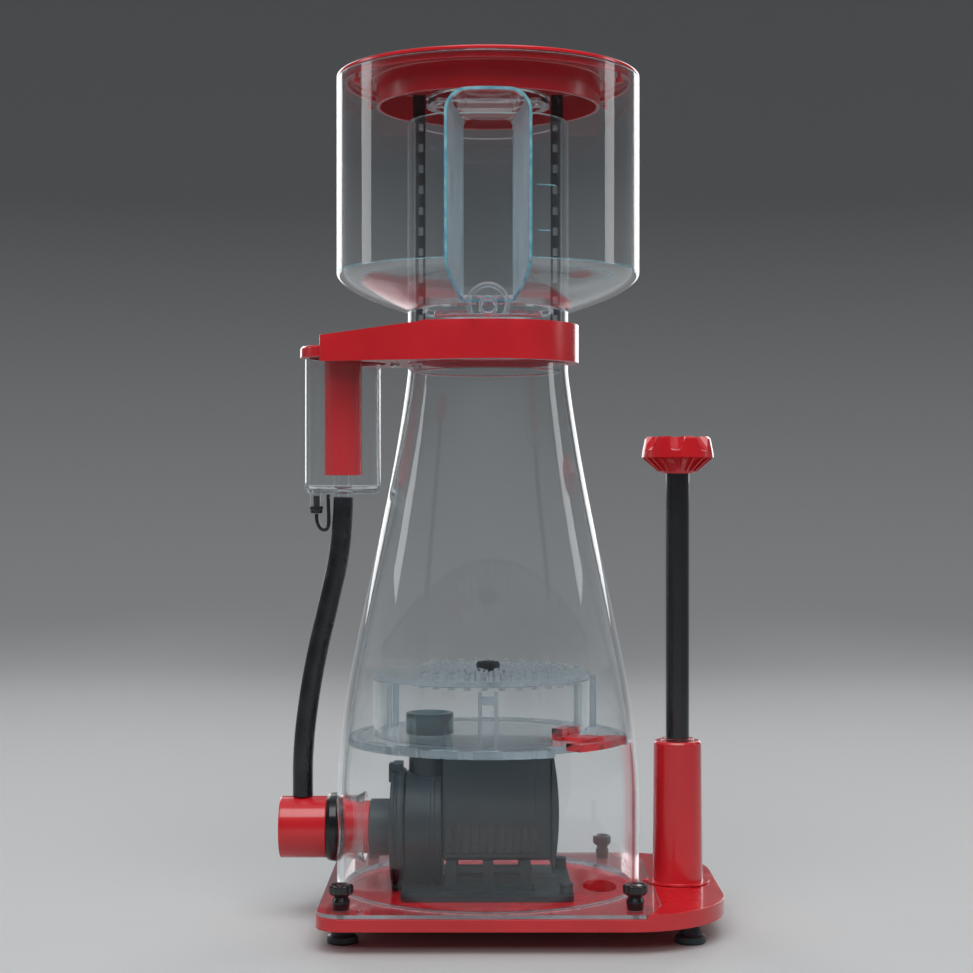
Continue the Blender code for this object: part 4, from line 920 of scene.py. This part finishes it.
def silencer():
    at = (SILENCER_X, 0, 0)
    profile = [(0, 372.4), (3.6, 372.4, 0.4), (3.6, 368.7, 0.3), (26.5, 368.7, 0.4), (CAP_R, 367.4, 0.6),
               (CAP_R, 361.2, 0.7), (24.9, 361.2, 0.3), (24.9, 364.8, 0.2), (12.1, 364.8, 0.6), (12.1, 286.0, 0.5),
               (10.0, 286.0, 0.5), (10.0, 363.0), (0, 363.0)]
    holes = [rod(1.6, 355, 380, (SILENCER_X + 18.5 * cos(radians(a)), 18.5 * sin(radians(a)), 0), steps=24)
             for a in (120, 150, 180, 210, 240)]
    show("silencer_lid", cut(lathe(profile, at, steps=112), merged(*holes)), "red_acrylic", "body", "silencer_cap")
    profile = [(24.4, 364.5, 0.4), (24.4, 274.3, 3.4), (5.2, 274.3, 0.3), (5.2, 277.3, 0.3), (22.1, 277.3, 2.2),
               (22.1, 364.5, 0.4)]
    chamber = lathe(profile, at, steps=128, pieces=6)
    stub = rod(4.1, 266.4, 276.3, (STUB_X, 0, 0), steps=48, rounding=0.4)
    chamber = cut(add(chamber, stub), rod(2.4, 260, 290, (STUB_X, 0, 0), steps=32))
    show("silencer_body", chamber, "clear_acrylic", "body", "silencer_chamber")
    profile = [(6.1, 345, 0.4), (6.1, 277.6, 0.3), (4.9, 277.6, 0.2), (4.9, 272.4, 0.4), (3.3, 272.4, 0.3),
               (3.3, 345, 0.4)]
    show("standpipe", lathe(profile, at, steps=64), "clear_acrylic", "body", "silencer_standpipe")
    profile = [(0, 273), (2.0, 273, 0.4), (2.0, 266.1), (4.6, 266.1, 0.5), (4.6, 264.4, 0.4), (4.1, 264.0, 0.2),
               (3.7, 261.5, 0.6), (0, 261.5)]
    show("stub_plug", lathe(profile, (STUB_X, 0, 0), steps=48), "rubber", "plug", "drain_plug")


# -------- outlet and its valve

def outlet():
    at, foot = (OUTLET_X, 0, 0), DECK_TOP + GAP
    profile = [(8.0, 115.2, 0.3), (14.3, 115.2, 0.8), (15.3, 113.8, 0.5), (16.1, foot + 0.6, 0.4),
               (20.4, foot + 0.6, 0.2), (20.4, foot, 0.2), (13.1, foot, 0.2), (13.1, 112.2, 0.6), (8.0, 112.2,
                                                                                                   0.3)]
    pipe = cut(lathe(profile, at, steps=112),
               bevelled(block((OUTLET_X - 7, 5, 50), (OUTLET_X + 7, 30, 100)), 3.0, 4))
    lugs = [placed(slab([sector(19.0, 22.6, a - 9, a + 9, 8)], foot, foot + 1.2), Matrix.Translation(at))
            for a in (-62, 58, 178)]
    show("outlet_riser", add(pipe, *[bevelled(lug, 0.4) for lug in lugs]), "red_acrylic", "body", "outlet_pipe")
    profile = [(12.6, 104.0, 0.4), (12.6, 25.0, 0.4), (11.0, 25.0, 0.3), (11.0, 101.5, 0.3), (7.9, 101.5, 0.2),
               (7.9, 104.0, 0.2)]
    wedge = slab([[(-11, 30), (12, 30), (9, 96), (5, 96)]], -30, -2)
    wedge.transform(Matrix.Translation(at) @ Matrix.Rotation(pi / 2, 4, "X"))
    show("gate", cut(lathe(profile, at, steps=96), wedge), "black_plastic", "outlet_valve", "outlet_gate")
    show("shaft", lathe(tube(7.5, 5.6, 98, 300, 0.5), at, steps=72), "black_plastic", "outlet_valve",
         "outlet_shaft")
    guide = lathe([(10.6, 116.6, 0.4), (10.6, 115.0, 0.2), (7.8, 115.0, 0.2), (7.8, 116.6, 0.4)], at, steps=72)
    show("shaft_guide", guide, "clear_acrylic", "body")


def knob():
    flare = bezier((23.3, 297.6), (17.0, 296.4), (12.6, 292.0), (10.0, 287.3), 14)
    profile = ([(0, 310.4), (15.5, 310.4, 0.5), (16.5, KNOB_TOP, 0.3), (20.0, KNOB_TOP, 0.8), (21.2, 309.6,
                                                                                               0.6), (22.9, 301.5)]
               + flare + [(7.8, 287.3, 0.3), (7.8, 301), (0, 301)])
    turned_knob = lathe(profile, (OUTLET_X, 0, 0), steps=160)
    scallops = []
    for i in range(7):
        angle = radians(-97.5 + i * 360 / 7)
        hollow = rod(6.2, -18, 18, steps=64)
        hollow.transform(Matrix.Translation((OUTLET_X + 23.2 * cos(angle), 23.2 * sin(angle), KNOB_TOP))
                         @ Matrix.Rotation(radians(-42), 4, Vector((-sin(angle), cos(angle), 0))))
        scallops.append(hollow)
    turned_knob = cut(turned_knob, merged(*scallops))
    ribs = []
    for i in range(20):
        rib = slab([[(10.2, 288.6), (12.6, 288.6), (22.6, 297.0), (20.5, 298.4), (12.6, 293.6)]], -0.35, 0.35)
        rib.transform(Matrix.Translation((OUTLET_X, 0, 0)) @ Matrix.Rotation(radians(i * 18 + 4), 4, "Z")
                      @ Matrix.Rotation(pi / 2, 4, "X"))
        ribs.append(rib)
    show("valve_knob", bevelled(add(turned_knob, *ribs), 0.5, 2, 48), "red_acrylic", "outlet_valve", "outlet_knob")


# -------- stage and lights

def stage():
    """A pale floor that turns up into a darker wall far from the object, the same all round."""
    steps, floor_r, sweep = 96, 1.7, 1.5
    profile = [(0.8, 0.0)] + [(floor_r + sweep * sin(radians(a)), sweep - sweep * cos(radians(a)))
                              for a in range(0, 91, 5)] + [(floor_r + sweep, 3.4)]
    bm = bmesh.new()
    rings = [[bm.verts.new((r * cos(2 * pi * k / steps), r * sin(2 * pi * k / steps), z)) for k in range(steps)]
             for r, z in profile]
    bm.faces.new(rings[0])
    for one, two in zip(rings, rings[1:]):
        for k in range(steps):
            bm.faces.new((two[k], two[(k + 1) % steps], one[(k + 1) % steps], one[k]))
    mesh = bpy.data.meshes.new("floor")
    bm.to_mesh(mesh)
    bm.free()
    mesh.shade_smooth()
    pale = Surface("floor", 0.8, Specular_IOR_Level=0.2)
    height = pale.node("ShaderNodeSeparateXYZ")
    pale.link(pale.place, height.inputs["Vector"])
    pale.colours(height.outputs["Z"], (0.56, 0.56, 0.56), (0.19, 0.195, 0.20), 0.0, 0.9)
    mesh.materials.append(pale.material)
    in_scene("floor", mesh)


def lamp(name, place, aim, width, height, power, shows=True, spread=180):
    """A softbox that may show in reflections, but not as a shape of its own."""
    data = bpy.data.lights.new(name, "AREA")
    data.shape = "RECTANGLE"
    data.size, data.size_y = width, height
    data.energy = power
    data.spread = radians(spread)
    thing = in_scene(name, data)
    thing.location = place
    thing.rotation_euler = (Vector(aim) - Vector(place)).to_track_quat("-Z", "Y").to_euler()
    thing.visible_camera = False
    thing.visible_transmission = False
    thing.visible_glossy = shows


def lights():
    world = bpy.data.worlds.new("studio")
    bpy.context.scene.world = world
    world.use_nodes = True
    world.node_tree.nodes["Background"].inputs["Color"].default_value = (0.9, 0.95, 1.0, 1)
    world.node_tree.nodes["Background"].inputs["Strength"].default_value = 0.48
    aim = (0, 0, 0.28)
    lamp("overhead_softbox", (0, -0.9, 1.8), aim, 1.6, 1.2, 19)
    for side, name in ((-1, "left"), (1, "right")):
        lamp(f"{name}_rim_softbox", (side * 0.85, 1.85, 0.95), aim, 0.95, 1.4, 3.2, spread=90)
        lamp(f"{name}_strip", (side * 1.35, 0.25, 0.75), aim, 0.28, 0.5, 1.5)
    lamp("front_fill", (0, -1.9, 1.3), aim, 1.6, 0.5, 8, False)


# -------- the CAD nodes that stay

def paint_cad():
    """Gives the pump's inner pieces, which keep their CAD shape, their finished material."""
    slots = {entry["node"]: entry["material_slot"] for entry in frame["record"]["subparts"]}
    for name, node in frame["nodes"].items():
        node.data.materials.clear()
        node.data.materials.append(MATERIALS[slots[name]])


paint_cad()
hose()
tether()
base()
feet()
thumbscrews()
body()
intake()
volute()
volute_body()
motor()
stand()
diffuser()
cup()
riser()
wiper()
lid()
collar()
silencer()
outlet()
knob()
stage()
lights()

bpy.context.scene.view_settings.view_transform = "Standard"
cycles = bpy.context.scene.cycles
cycles.max_bounces = 28
cycles.transmission_bounces = 28
cycles.transparent_max_bounces = 28
cycles.glossy_bounces = 12
cycles.diffuse_bounces = 4
cycles.blur_glossy = 0.6
